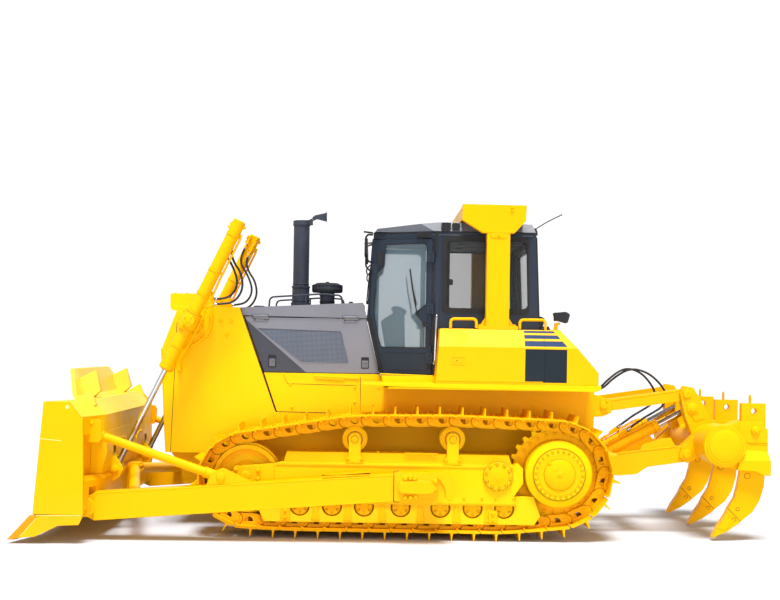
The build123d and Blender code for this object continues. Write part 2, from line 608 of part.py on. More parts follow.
# lift rod ears, arm pivots, brace clevises and the centre bracket
for y in (LIFT_Y - 39 - 30, LIFT_Y + 39):
    e = side([(4440, 800), (4330, 700), (4285, 615), (4320, 540), (4402, 480), (4440, 480)], y, y + 30)
    back += [e, flip(e)]
# clevises of the braces, and of the push arms' front pins
for a, b in ((1440, 1466), (1534, 1560)):
    e = side([(4660, 1150), (4400, 1140), (4376, 1110), (4376, 950), (4400, 922), (4660, 920)], a, b)
    back += [e, flip(e)]
for a, b in ((1390, 1425), (1575, 1610)):
    e = side([(4640, 520), (4540, 400), (4455, 330), (4470, 230), (4560, 215), (4640, 240)], a, b)
    back += [e, flip(e)]
back.append(side([(4274, 598), (4274, 488), (4400, 470), (4400, 600)], -110, 110))
# ball caps of the two cross links, on the lower box
back += [disc((4385, 400), 74, 90, 150), disc((4385, 400), 74, -150, -90)]
mold = winged(MOLD_F + MOLD_B)
blade_back = fuse(*back) - mold
# room for the arms' front eyes
pocket = block(4340, 4655, 1425, 1575, 150, 500)
eye_room = disc(LIFT_EYE, 88, LIFT_Y - 43, LIFT_Y + 43)
blade_back = blade_back - pocket - flip(pocket) - eye_room - flip(eye_room)

guard_pl = side([(4692, 1313), (4722, 1340), (4848, 1596), (4833, 1606), (4812, 1602), (4688, 1348), (4640, 1313)], -1260, 1260)
sg_cut = front([(830, 1660), (830, 1607), (1250, 1350), (1262, 1316), (1300, 1316), (1300, 1660)], 4500, 5300)
guard_pl = guard_pl - sg_cut - flip(sg_cut) - mold - blade_back
# tapered gussets behind the guard: y, half widths at foot and tip, outline (x, z)
HORN_A = [(4597, 1592), (4757, 1510), (4700, 1295), (4626, 1310), (4542, 1385)]
HORN_B = [(4534, 1401), (4731, 1284), (4640, 1190), (4483, 1267)]
horns = []
for y, foot, tip, outline in ((800, 75, 10, HORN_A), (1290, 70, 8, HORN_B)):
    z0, z1 = min(q[1] for q in outline), max(q[1] for q in outline)
    h = side(outline, y - foot, y + foot) & front([(y - foot, z0), (y + foot, z0), (y + tip, z1), (y - tip, z1)], 4400, 4900)
    horns += [h, flip(h)]
node("moldboard", mold)
node("spill_guard", fuse(guard_pl, *horns) - mold - blade_back)

# push arms: rectangular beams with a bearing cap round the trunnion
arm = side([(4430, 453), (1617, 663), (1617, 412), (4430, 190)], ARM_Y0, ARM_Y1)
armf = fuse(side([(4430, 453), (4430, 190), (4540, 235), (4540, 385)], 1426, 1574), disc((4540, 310), 75, 1426, 1574))
caph = fuse(side([(1620, 663), (1560, 680), (1241, 680), (1110, 620), (1090, 500), (1150, 420), (1241, 385), (1620, 412)], ARM_Y0, ARM_Y1)) - disc(TRUNNION, 75, ARM_Y0 - 5, ARM_Y1 - 60)
arm_bracket = side([(3380, 530), (3340, 640), (3230, 690), (3120, 640), (2950, 560)], ARM_Y0 + 40, ARM_Y1 - 40)
arm = fuse(arm, armf, caph, arm_bracket)
arm = arm - blade_back
node("push_arms", both(arm))

BRACE_F, BRACE_R = (4549.0, 1036.0), (3243.0, 602.0)


def on_brace(t, y=1500.0):
    q = along(BRACE_F, BRACE_R, t)
    return (q[0], y, q[1])


BRACE_L = math.dist(BRACE_F, BRACE_R)
brace = fuse(disc(BRACE_F, 66, 1468, 1532), disc(BRACE_F, 34, 1438, 1566), rod(on_brace(0), on_brace(180), 48),
             rod(on_brace(150), on_brace(BRACE_L - 120), 42), rod(on_brace(BRACE_L - 180), on_brace(BRACE_L), 50))
tilt = fuse(disc(BRACE_F, 66, 1468, 1532), disc(BRACE_F, 34, 1438, 1566), rod(on_brace(0), on_brace(520), 38),
            rod(on_brace(430), on_brace(BRACE_L - 60), 74), rod(on_brace(400), on_brace(450), 84),
            rod(on_brace(BRACE_L - 100), on_brace(BRACE_L), 60))
blade_back = blade_back - disc(BRACE_F, 34, 1400, 1600) - flip(disc(BRACE_F, 34, 1400, 1600))
node("blade_back", blade_back - brace - flip(tilt))
node("brace_left", brace - arm)
node("tilt_cylinder_right", flip(tilt - arm))
vl = rod((4330, 70, 536), (4080, 1420, 420), 55) - blade_back - arm
node("cross_links", both(vl))

# ------------------------------------------------------------------ ripper
RIP_CY = 262.0
mount = []
for a, b in ((470, 512), (598, 640)):
    # ears of the lower arm
    mount.append(side([(-439, 860), (-520, 800), (-620, 740), (-630, 650), (-560, 590), (-439, 600)], a, b))
for a, b in ((338, 375), (445, 482)):
    # ears of the upper link
    mount.append(side([(-439, 1420), (-560, 1390), (-650, 1320), (-640, 1230), (-560, 1190), (-439, 1180)], a, b))
for a, b in ((RIP_CY - 90, RIP_CY - 62), (RIP_CY + 62, RIP_CY + 90)):
    # ears of the lift cylinder
    mount.append(side([(-439, 900), (-560, 870), (-670, 830), (-670, 740), (-590, 700), (-439, 680)], a, b) if b < 370 else
                 side([(-439, 900), (-560, 870), (-670, 830), (-670, 740), (-590, 700), (-439, 680)], a, b))
pins = [disc(RIP_LF, 30, 470, 640), disc(RIP_UF, 28, 338, 482), disc(RIP_CF, 30, RIP_CY - 90, RIP_CY + 90)]
m = fuse(*mount, *pins)
node("ripper_mount", fuse(m, flip(m)) - drive)

la = fuse(side([(-534, 777), (-667, 818), (-1303, 901), (-1389, 899), (-1389, 755), (-1398, 747), (-993, 686),
                (-883, 611), (-700, 594), (-534, 613)], 518, 592), disc(RIP_LF, 82, 518, 592), disc(RIP_LR, 72, 518, 592),
          # raised rib on the arm's inner edge
          side([(-930, 850), (-947, 905), (-1150, 975), (-1240, 985), (-1290, 900)], 520, 546))
la = la - disc(RIP_LF, 30.05, 510, 600) - disc(RIP_LR, 30.05, 510, 600)
cross = side([along(RIP_LF, RIP_LR, 270, 25), along(RIP_LF, RIP_LR, 440, 15), along(RIP_LF, RIP_LR, 470, 70),
              along(RIP_LF, RIP_LR, 290, 118)], -519, 519)
node("ripper_arm", fuse(la, flip(la), cross))

ul = bar(RIP_UF, RIP_UR, 381, 439, 62) - disc(RIP_UF, 28.05, 370, 450) - disc(RIP_UR, 28.05, 370, 450)
node("ripper_upper_links", both(ul))

# beam: round tube with heavy end castings, towers for the links, pockets for
# the shanks
tube_r = disc((-1639, 947), 178, -1123, 1123)
castings = [disc((-1639, 947), 205, 700, 1110), disc((-1639, 947), 161, 1109, 1123)]
castings.append(side([(-1625, 1140), (-1695, 1148), (-1780, 1190), (-2041, 1192), (-2046, 1119), (-2078, 1119), (-2082, 884),
                      (-2099, 780), (-2097, 660), (-2031, 666), (-1936, 703), (-1772, 712), (-1639, 742)], 860, 1040))
lip = side([(-1772, 712), (-1800, 850), (-1857, 925), (-2081, 886), (-2099, 780), (-2097, 660), (-2031, 666), (-1936, 703)], 820, 1095)
castings.append(lip & front([(820, 600), (1095, 600), (1095, 806), (1040, 905), (820, 905)], -2200, -1700))
tower = []
for a, b in ((483, 512), (598, 640)):
    tower.append(side([(-1340, 900), (-1310, 800), (-1389, 735), (-1500, 790), (-1640, 790), (-1700, 1100), (-1560, 1110)], a, b))
for a, b in ((338, 375), (445, 483)):
    tower.append(side([(-1345, 1440), (-1400, 1515), (-1480, 1500), (-1560, 1380), (-1700, 1110), (-1640, 800), (-1560, 800), (-1400, 1200)], a, b))
for a, b in ((RIP_CY - 105, RIP_CY - 75),):
    tower.append(side([(-1460, 1340), (-1540, 1370), (-1610, 1320), (-1700, 1110), (-1640, 800), (-1560, 900), (-1450, 1230)], a, b))
tp = [disc(RIP_LR, 30, 483, 640), disc(RIP_UR, 28, 338, 483)]
half = fuse(*castings, *tower, *tp)
mid_pocket = side([(-1700, 1140), (-1829, 1149), (-2140, 1149), (-2140, 648), (-1829, 700), (-1700, 760)], -90, 90)
SHANK = [(-1832, 1366), (-2071, 1366), (-2071, 653), (-2063, 545), (-2021, 400), (-1955, 290), (-1835, 192),
         (-1640, 85), (-1680, 250), (-1715, 327), (-1775, 425), (-1805, 545), (-1826, 677)]
POINT = [(-1640, 85), (-1560, 34), (-1600, 120), (-1650, 215), (-1690, 240), (-1760, 160)]
slots_s = [fuse(side([(-1829, 1400), (-2074, 1400), (-2074, 600), (-1829, 600)], y - 39, y + 39),
                side(SHANK, y - 39, y + 39)) for y in SHANK_Y]
node("ripper_beam", fuse(tube_r, half, flip(half), mid_pocket) - slots_s[0] - slots_s[1] - slots_s[2])
SH = []
for y in SHANK_Y:
    blade_s = side(SHANK, y - 37, y + 37) - disc((-1955, 1289), 29, y - 50, y + 50)
    SH.append(blade_s)
PT = [side([(-1560, 34), (-1605, 130), (-1690, 262), (-1775, 200), (-1835, 190), (-1700, 95)], y - 50, y + 50)
      for y in SHANK_Y]
node("ripper_shanks", Compound([fuse(a, b) for a, b in zip(SH, PT)]))


def PORT(y, t):
    """Point at t down the axis of the barrel's hose port."""
    return (-842 + 0.78 * t, y, 1030 - 0.6258 * t)


def rip_cyl(s):
    y = s * RIP_CY
    L = math.dist(RIP_CF, RIP_CR)
    ux, uz = (RIP_CR[0] - RIP_CF[0]) / L, (RIP_CR[1] - RIP_CF[1]) / L
    P = lambda t: (RIP_CF[0] + ux * t, y, RIP_CF[1] + uz * t)
    b = fuse(rod(P(60), P(640), 57), rod(P(600), P(640), 68), disc(RIP_CF, 60, y - 55, y + 55), rod(P(30), P(90), 50))
    b = b - rod(P(95), P(600), 43) - rod(P(599), P(641), 35.06) - disc(RIP_CF, 30.05, y - 60, y + 60)
    # port on top of the barrel, where the hose comes down
    b = fuse(b, rod(PORT(y, 95), PORT(y, 0.4), 21) - rod(P(95), P(600), 44))
    r = fuse(rod(P(346), P(L - 40), 35), disc(RIP_CR, 60, y - 40, y + 40))
    return b, r


for tag, sg in (("left", 1), ("right", -1)):
    b, r = rip_cyl(sg)
    node("ripper_barrel_" + tag, b)
    node("ripper_rod_" + tag, r)

# hoses from the drive case over to the ripper cylinders' ports
RIP_HOSE_D = 23.0
ROUTE_RIP = [(-440.4, 80, 1432), (-590, 80, 1432), (-735, 98, 1585), (-900, 140, 1690), (-1075, 195, 1645),
             (-1200, 245, 1525), (-1265, 262, 1405), (-1222, 262, 1292), (-1110, 262, 1222), PORT(262, -195), PORT(262, 0)]
for tag, sg in (("left", 1), ("right", -1)):
    put_hose("ripper_hose_" + tag, [(x, sg * y, z) for x, y, z in ROUTE_RIP], RIP_HOSE_D)

# ------------------------------------------------------------------ export
os.makedirs("parts", exist_ok=True)
for name, shape in NODES.items():
    export_step(shape.moved(Location((-X_MID, 0, 0))), "parts/%s.step" % name)
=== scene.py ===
import bpy
import bmesh
import math
from mathutils import Vector, Matrix
from mathutils.geometry import tessellate_polygon


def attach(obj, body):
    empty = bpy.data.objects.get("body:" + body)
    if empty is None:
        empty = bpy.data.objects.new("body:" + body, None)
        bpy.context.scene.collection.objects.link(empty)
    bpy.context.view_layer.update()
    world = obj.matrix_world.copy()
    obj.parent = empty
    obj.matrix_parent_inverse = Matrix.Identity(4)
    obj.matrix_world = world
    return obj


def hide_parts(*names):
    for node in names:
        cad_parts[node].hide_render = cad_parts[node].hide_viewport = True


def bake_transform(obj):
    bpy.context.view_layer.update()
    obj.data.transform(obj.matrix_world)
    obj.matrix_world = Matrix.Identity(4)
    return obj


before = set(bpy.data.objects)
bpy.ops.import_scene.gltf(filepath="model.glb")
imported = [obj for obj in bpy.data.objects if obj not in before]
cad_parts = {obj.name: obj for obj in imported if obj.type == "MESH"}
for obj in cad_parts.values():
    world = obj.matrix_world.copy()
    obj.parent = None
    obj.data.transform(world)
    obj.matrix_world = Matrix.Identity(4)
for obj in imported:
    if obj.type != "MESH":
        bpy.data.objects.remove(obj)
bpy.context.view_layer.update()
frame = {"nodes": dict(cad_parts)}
XM = 1517.5


def R(x, y, z):
    """Model millimetres, X from the sprocket, to the row frame in metres."""
    return Vector(((x - XM) / 1000.0, y / 1000.0, z / 1000.0))


# ------------------------------------------------------------------ camera
cam_data = bpy.data.cameras.new("camera")
cam = bpy.data.objects.new("camera", cam_data)
bpy.context.scene.collection.objects.link(cam)
cam_data.sensor_fit = "HORIZONTAL"
cam_data.sensor_width = 36.0
cam_data.lens = 58.38
cam_data.shift_x = 20.0 / 780.0
cam_data.shift_y = 50.0 / 780.0
cam_data.clip_end = 200.0
cam.matrix_world = (Matrix.Translation((0.3355, 13.5, 1.835)) @ Matrix.Rotation(math.pi, 4, "Z")
                    @ Matrix.Rotation(math.pi / 2, 4, "X") @ Matrix.Rotation(0.0157, 4, "Z"))
bpy.context.scene.camera = cam


# --------------------------------------------------------------- materials
def new_mat(name):
    m = bpy.data.materials.new(name)
    m.use_nodes = True
    nt = m.node_tree
    return m, nt, nt.nodes, nt.links, nt.nodes["Principled BSDF"]


def N(nodes, kind, **kw):
    n = nodes.new(kind)
    for k, v in kw.items():
        setattr(n, k, v)
    return n


def mix_color(nodes, links, fac, a, b):
    m = N(nodes, "ShaderNodeMix", data_type="RGBA")
    for sock, val in ((m.inputs[0], fac), (m.inputs[6], a), (m.inputs[7], b)):
        if hasattr(val, "is_output") or hasattr(val, "links"):
            links.new(val, sock)
        elif isinstance(val, (int, float)):
            sock.default_value = val
        else:
            sock.default_value = tuple(val) + (1.0,) * (4 - len(val))
    return m.outputs[2]


def math_node(nodes, links, op, a, b=None, clamp=False):
    m = N(nodes, "ShaderNodeMath", operation=op)
    m.use_clamp = clamp
    for sock, val in ((m.inputs[0], a), (m.inputs[1], b)):
        if val is None:
            continue
        if isinstance(val, (int, float)):
            sock.default_value = val
        else:
            links.new(val, sock)
    return m.outputs[0]


def base_nodes(nodes, links, scale=1.0):
    tc = N(nodes, "ShaderNodeTexCoord")
    mp = N(nodes, "ShaderNodeMapping")
    mp.inputs["Scale"].default_value = (scale, scale, scale)
    links.new(tc.outputs["Object"], mp.inputs["Vector"])
    return tc, mp.outputs["Vector"]


def paint(name, color, dark=0.93, light=1.0, rough=(0.24, 0.34), coat=0.35, peel=0.12, bevel=0.006, metallic=0.0,
          dust=0.0, dust_color=(0.75, 0.66, 0.45), grain=240.0, color_fn=None, spec=0.2):
    """Sprayed enamel: slow colour drift, orange peel, softened edges and a
    little dust low down."""
    m, nt, nodes, links, bsdf = new_mat(name)
    tc, vec = base_nodes(nodes, links)
    slow = N(nodes, "ShaderNodeTexNoise")
    slow.inputs["Scale"].default_value = 1.7
    slow.inputs["Detail"].default_value = 5.0
    links.new(vec, slow.inputs["Vector"])
    ramp = N(nodes, "ShaderNodeMapRange")
    ramp.inputs["From Min"].default_value = 0.3
    ramp.inputs["From Max"].default_value = 0.7
    links.new(slow.outputs["Fac"], ramp.inputs["Value"])
    a = tuple(c * dark for c in color)
    b = tuple(min(1.0, c * light) for c in color)
    col = mix_color(nodes, links, ramp.outputs["Result"], a, b)
    if color_fn is not None:
        col = color_fn(nodes, links, tc, col)
    if dust > 0:
        sep = N(nodes, "ShaderNodeSeparateXYZ")
        links.new(tc.outputs["Object"], sep.inputs[0])
        h = N(nodes, "ShaderNodeMapRange")
        h.inputs["From Min"].default_value = 0.55
        h.inputs["From Max"].default_value = 0.0
        links.new(sep.outputs["Z"], h.inputs["Value"])
        dn = N(nodes, "ShaderNodeTexNoise")
        dn.inputs["Scale"].default_value = 9.0
        dn.inputs["Detail"].default_value = 7.0
        links.new(vec, dn.inputs["Vector"])
        dm = math_node(nodes, links, "MULTIPLY", dn.outputs["Fac"], h.outputs["Result"])
        dm = math_node(nodes, links, "MULTIPLY", dm, dust, clamp=True)
        col = mix_color(nodes, links, dm, col, dust_color)
    links.new(col, bsdf.inputs["Base Color"])
    fine = N(nodes, "ShaderNodeTexNoise")
    fine.inputs["Scale"].default_value = 6.0
    fine.inputs["Detail"].default_value = 6.0
    links.new(vec, fine.inputs["Vector"])
    rr = N(nodes, "ShaderNodeMapRange")
    rr.inputs["From Min"].default_value = 0.35
    rr.inputs["From Max"].default_value = 0.65
    rr.inputs["To Min"].default_value = rough[0]
    rr.inputs["To Max"].default_value = rough[1]
    links.new(fine.outputs["Fac"], rr.inputs["Value"])
    links.new(rr.outputs["Result"], bsdf.inputs["Roughness"])
    pe = N(nodes, "ShaderNodeTexNoise")
    pe.inputs["Scale"].default_value = grain
    pe.inputs["Detail"].default_value = 2.0
    links.new(vec, pe.inputs["Vector"])
    bump = N(nodes, "ShaderNodeBump")
    bump.inputs["Strength"].default_value = peel
    bump.inputs["Distance"].default_value = 0.0015
    links.new(pe.outputs["Fac"], bump.inputs["Height"])
    if bevel:
        bv = N(nodes, "ShaderNodeBevel", samples=4)
        bv.inputs["Radius"].default_value = bevel
        links.new(bv.outputs["Normal"], bump.inputs["Normal"])
    links.new(bump.outputs["Normal"], bsdf.inputs["Normal"])
    bsdf.inputs["Metallic"].default_value = metallic
    bsdf.inputs["Specular IOR Level"].default_value = spec
    bsdf.inputs["Coat Weight"].default_value = coat
    bsdf.inputs["Coat Roughness"].default_value = 0.12
    return m


def inside(nodes, links, tc, edges):
    """1 where every a*x + b*y + c*z + d > 0, in row metres, else 0."""
    sep = N(nodes, "ShaderNodeSeparateXYZ")
    links.new(tc.outputs["Object"], sep.inputs[0])
    out = None
    for a, b, c, d in edges:
        v = math_node(nodes, links, "MULTIPLY", sep.outputs["X"], a)
        w = math_node(nodes, links, "MULTIPLY", sep.outputs["Z"], c)
        v = math_node(nodes, links, "ADD", v, w)
        if b:
            ab = math_node(nodes, links, "ABSOLUTE", sep.outputs["Y"])
            ab = math_node(nodes, links, "MULTIPLY", ab, b)
            v = math_node(nodes, links, "ADD", v, ab)
        v = math_node(nodes, links, "ADD", v, d)
        v = math_node(nodes, links, "MULTIPLY", v, 1500.0, clamp=True)
        out = v if out is None else math_node(nodes, links, "MULTIPLY", out, v)
    return out


def edge_xz(p, q):
    """Half plane to the left of p -> q, both (x, z) in model millimetres."""
    (x0, z0), (x1, z1) = [((x - XM) / 1000.0, z / 1000.0) for x, z in (p, q)]
    a, c = -(z1 - z0), (x1 - x0)
    L = math.hypot(a, c)
    return (a / L, 0.0, c / L, -(a * x0 + c * z0) / L)


def poly_edges(pts):
    """Edges of a convex (x, z) outline given anticlockwise."""
    return [edge_xz(pts[i], pts[(i + 1) % len(pts)]) for i in range(len(pts))]


YEL = (0.985, 0.492, 0.0004)
yellow = paint("yellow_enamel", YEL, dark=0.97, light=1.0, rough=(0.30, 0.40), coat=0.0, peel=0.10, spec=0.06)
yellow_low = paint("yellow_enamel_low", YEL, dark=0.95, light=1.0, rough=(0.34, 0.48), coat=0.0, peel=0.16, dust=0.06, spec=0.06)
cast_yellow = paint("yellow_casting", (0.975, 0.515, 0.0006), dark=0.95, light=1.0, rough=(0.38, 0.52), coat=0.0, peel=0.5,
                    grain=110.0, bevel=0.012, spec=0.06)


# faces that stand back from the light get a paler yellow: painted light that lifts their shade
yellow_shade_lifted = paint("yellow_enamel_shade_lifted", (0.985, 0.60, 0.0004), dark=0.97, light=1.0, rough=(0.30, 0.40), coat=0.0, peel=0.10, spec=0.06)
yellow_frame_shade_lifted = paint("yellow_enamel_frame_shade_lifted", (0.985, 0.60, 0.0004), dark=0.95, light=1.0, rough=(0.34, 0.48), coat=0.0, peel=0.16,
                     dust=0.05, spec=0.06)
cast_shade_lifted = paint("yellow_casting_shade_lifted", (0.98, 0.60, 0.0006), dark=0.95, light=1.0, rough=(0.38, 0.52), coat=0.0, peel=0.5,
                  grain=110.0, bevel=0.012, spec=0.06)


def tank_colors(nodes, links, tc, col):
    """Three blue stripes across the chamfer and the dark square below them."""
    blue = (0.014, 0.040, 0.115)
    ink = (0.0185, 0.0255, 0.033)
    for z0, z1 in ((2026, 2048), (1969, 2007), (1893, 1948)):
        # right ends follow the tank's sloping back
        quad = [(345, z0), (345, z1), (14 + (z1 - 2000) * 0.80, z1), (14 + (z0 - 2000) * 0.80, z0)]
        f = inside(nodes, links, tc, poly_edges(quad) + [(0.0, 1.0, 0.0, -1.0)])
        col = mix_color(nodes, links, f, col, blue)
    quad = [(342, 1542), (342, 1868), (-66, 1868), (-66, 1542)]
    f = inside(nodes, links, tc, poly_edges(quad) + [(0.0, 1.0, 0.0, -1.15)])
    return mix_color(nodes, links, f, col, ink)


tank_yellow = paint("yellow_tank", YEL, dark=0.97, light=1.0, rough=(0.30, 0.40), coat=0.0, peel=0.10, color_fn=tank_colors, spec=0.06)


def hood_colors(nodes, links, tc, col):
    """Darker triangle over the front of each engine door."""
    f = inside(nodes, links, tc, [edge_xz((3157, 2155), (2505, 1598))])
    return mix_color(nodes, links, f, col, (0.053, 0.058, 0.075))


grey = paint("grey_enamel", (0.200, 0.206, 0.240), dark=0.93, light=1.03, rough=(0.32, 0.44), coat=0.0, peel=0.15)
door_grey = paint("grey_door_enamel", (0.206, 0.213, 0.250), dark=0.93, light=1.03, rough=(0.32, 0.44), coat=0.0, peel=0.15,
                  color_fn=hood_colors)
def cab_roof_painted_highlight(nodes, links, tc, col):
    """Painted highlight: paler roof panel above the gutter, standing in for the light falling on the roof from above.
    """
    f = inside(nodes, links, tc, [(0.0, 0.0, 1.0, -3.037)])
    return mix_color(nodes, links, f, col, (0.125, 0.134, 0.160))


cab_blue = paint("cab_enamel", (0.019, 0.028, 0.044), dark=0.88, light=1.12, rough=(0.28, 0.42), coat=0.03, peel=0.2, spec=0.18,
                 color_fn=cab_roof_painted_highlight)
dark_metal = paint("dark_enamel", (0.034, 0.040, 0.056), dark=0.8, light=1.5, rough=(0.42, 0.62), coat=0.0, peel=0.3)
black_plastic = paint("black_plastic", (0.022, 0.023, 0.026), dark=0.8, light=1.3, rough=(0.45, 0.62), coat=0.0, peel=0.5,
                      grain=420.0, bevel=0.002)
rubber = paint("black_rubber", (0.016, 0.016, 0.017), dark=0.8, light=1.4, rough=(0.55, 0.75), coat=0.0, peel=0.35,
               grain=300.0, bevel=0.002)
steel_bolt = paint("zinc_bolt", (0.55, 0.55, 0.55), dark=0.8, light=1.1, rough=(0.3, 0.5), coat=0.0, peel=0.3,
                   metallic=0.9, bevel=0.0)
def bit_edge_painted_shade(nodes, links, tc, col):
    """Painted shade: a darker orange strip along the leading edge of the end bits, standing in for the shade on their
    stepped front layer.
    """
    f = inside(nodes, links, tc, [(0.7514, 0.0, 0.6597, -2.7025)])
    return mix_color(nodes, links, f, col, (0.80, 0.30, 0.004))


# cutting edge steel: real dust low down, and a painted shade strip along the end bits' leading edge
edge_steel_dust_and_shade = paint("edge_steel_dust_and_painted_shade", (0.97, 0.49, 0.001), dark=0.93, light=1.0, rough=(0.3, 0.5), coat=0.0, peel=0.4, grain=90.0,
                   dust=0.08, dust_color=(0.60, 0.36, 0.10), spec=0.12, color_fn=bit_edge_painted_shade)


def blade_back_painted_light(nodes, links, tc, col):
    """Painted light on the blade's back: a paler top standing in for the light falling on it, and a lighter band below
    that lifts the shade on the back.
    """
    f = inside(nodes, links, tc, [(0.0, 0.0, 1.0, -1.168), (0.0, 1.0, 0.0, 1.80), (0.0, -1.0, 0.0, 1.80)])
    c = mix_color(nodes, links, f, col, (1.0, 0.66, 0.05))
    g = inside(nodes, links, tc, [(0.0, 0.0, 1.0, -0.60), (0.0, 0.0, -1.0, 1.168), (0.0, 1.0, 0.0, 1.42), (0.0, -1.0, 0.0, 1.42)])
    return mix_color(nodes, links, g, c, (1.0, 0.62, 0.001))


yellow_back = paint("yellow_enamel_blade", YEL, dark=0.96, light=1.0, rough=(0.34, 0.48), coat=0.0, peel=0.16, dust=0.04, spec=0.06,
                    color_fn=blade_back_painted_light)
# pale yellow for the blade's beads: a painted highlight on weld seams and edges
bead_painted_highlight = paint("yellow_bead_painted_highlight", (1.0, 0.78, 0.22), dark=0.95, light=1.0, rough=(0.34, 0.46), coat=0.0, peel=0.12,
                    spec=0.08, bevel=0.0)
# paler yellow for the spill guard: a painted highlight for the light on its faces
yellow_painted_highlight = paint("yellow_enamel_painted_highlight", (1.0, 0.68, 0.06), dark=0.96, light=1.0, rough=(0.34, 0.46), coat=0.0, peel=0.12, spec=0.08)


def chrome_mat():
    m, nt, nodes, links, bsdf = new_mat("chrome_rod")
    tc, vec = base_nodes(nodes, links)
    mp = N(nodes, "ShaderNodeMapping")
    mp.inputs["Scale"].default_value = (3.0, 3.0, 260.0)
    links.new(tc.outputs["Object"], mp.inputs["Vector"])
    n = N(nodes, "ShaderNodeTexNoise")
    n.inputs["Scale"].default_value = 4.0
    n.inputs["Detail"].default_value = 4.0
    links.new(mp.outputs["Vector"], n.inputs["Vector"])
    r = N(nodes, "ShaderNodeMapRange")
    r.inputs["To Min"].default_value = 0.06
    r.inputs["To Max"].default_value = 0.2
    links.new(n.outputs["Fac"], r.inputs["Value"])
    links.new(r.outputs["Result"], bsdf.inputs["Roughness"])
    c = mix_color(nodes, links, n.outputs["Fac"], (0.46, 0.44, 0.42), (0.58, 0.56, 0.53))
    links.new(c, bsdf.inputs["Base Color"])
    bsdf.inputs["Metallic"].default_value = 1.0
    return m


chrome = chrome_mat()


def glass_mat(name, alpha, lo, hi):
    m, nt, nodes, links, bsdf = new_mat(name)
    tc, vec = base_nodes(nodes, links)
    n = N(nodes, "ShaderNodeTexNoise")
    n.inputs["Scale"].default_value = 1.6
    links.new(vec, n.inputs["Vector"])
    links.new(mix_color(nodes, links, n.outputs["Fac"], lo, hi), bsdf.inputs["Base Color"])
    r = N(nodes, "ShaderNodeMapRange")
    r.inputs["To Min"].default_value = 0.02
    r.inputs["To Max"].default_value = 0.06
    links.new(n.outputs["Fac"], r.inputs["Value"])
    links.new(r.outputs["Result"], bsdf.inputs["Roughness"])
    bsdf.inputs["Alpha"].default_value = alpha
    bsdf.inputs["Specular IOR Level"].default_value = 0.6
    return m


door_glass = glass_mat("door_glass", 0.31, (0.165, 0.245, 0.300), (0.225, 0.325, 0.385))
glass = glass_mat("window_glass", 0.245, (0.025, 0.030, 0.030), (0.050, 0.058, 0.060))



def cloth_mat():
    m, nt, nodes, links, bsdf = new_mat("seat_cloth")
    tc, vec = base_nodes(nodes, links)
    w1 = N(nodes, "ShaderNodeTexWave", bands_direction="Y")
    w1.inputs["Scale"].default_value = 180.0
    w2 = N(nodes, "ShaderNodeTexWave", bands_direction="Z")
    w2.inputs["Scale"].default_value = 180.0
    links.new(vec, w1.inputs["Vector"])
    links.new(vec, w2.inputs["Vector"])
    p = math_node(nodes, links, "MULTIPLY", w1.outputs["Fac"], w2.outputs["Fac"])
    c = mix_color(nodes, links, p, (0.018, 0.019, 0.022), (0.075, 0.078, 0.085))
    links.new(c, bsdf.inputs["Base Color"])
    b = N(nodes, "ShaderNodeBump")
    b.inputs["Strength"].default_value = 0.5
    b.inputs["Distance"].default_value = 0.001
    links.new(p, b.inputs["Height"])
    links.new(b.outputs["Normal"], bsdf.inputs["Normal"])
    bsdf.inputs["Roughness"].default_value = 0.85
    bsdf.inputs["Sheen Weight"].default_value = 0.3
    return m


cloth = cloth_mat()


def mesh_screen_mat():
    """Punched screen: a hexagonal array of dark holes in grey blue sheet."""
    m, nt, nodes, links, bsdf = new_mat("punched_screen")
    tc = N(nodes, "ShaderNodeTexCoord")
    mp = N(nodes, "ShaderNodeMapping")
    mp.inputs["Scale"].default_value = (1.0, 0.0, 1.0)
    links.new(tc.outputs["Object"], mp.inputs["Vector"])
    v = N(nodes, "ShaderNodeTexVoronoi")
    v.inputs["Scale"].default_value = 78.0
    v.inputs["Randomness"].default_value = 0.0
    links.new(mp.outputs["Vector"], v.inputs["Vector"])
    hole = N(nodes, "ShaderNodeMapRange")
    hole.inputs["From Min"].default_value = 0.30
    hole.inputs["From Max"].default_value = 0.38
    links.new(v.outputs["Distance"], hole.inputs["Value"])
    n = N(nodes, "ShaderNodeTexNoise")
    n.inputs["Scale"].default_value = 5.0
    links.new(tc.outputs["Object"], n.inputs["Vector"])
    sheet = mix_color(nodes, links, n.outputs["Fac"], (0.118, 0.146, 0.205), (0.140, 0.172, 0.238))
    f = inside(nodes, links, tc, [edge_xz((3157, 2155), (2505, 1598))])
    sheet = mix_color(nodes, links, f, sheet, (0.085, 0.088, 0.108))
    c = mix_color(nodes, links, hole.outputs["Result"], (0.020, 0.024, 0.030), sheet)
    links.new(c, bsdf.inputs["Base Color"])
    b = N(nodes, "ShaderNodeBump")
    b.inputs["Strength"].default_value = 0.6
    b.inputs["Distance"].default_value = 0.002
    links.new(hole.outputs["Result"], b.inputs["Height"])
    links.new(b.outputs["Normal"], bsdf.inputs["Normal"])
    bsdf.inputs["Roughness"].default_value = 0.5
    return m


screen = mesh_screen_mat()
red_lens = paint("red_lens", (0.5, 0.02, 0.012), rough=(0.12, 0.2), coat=0.6, peel=0.3, grain=500.0, bevel=0.0)
clear_lens = paint("clear_lens", (0.72, 0.76, 0.78), rough=(0.08, 0.14), coat=0.8, peel=0.6, grain=320.0, bevel=0.0)


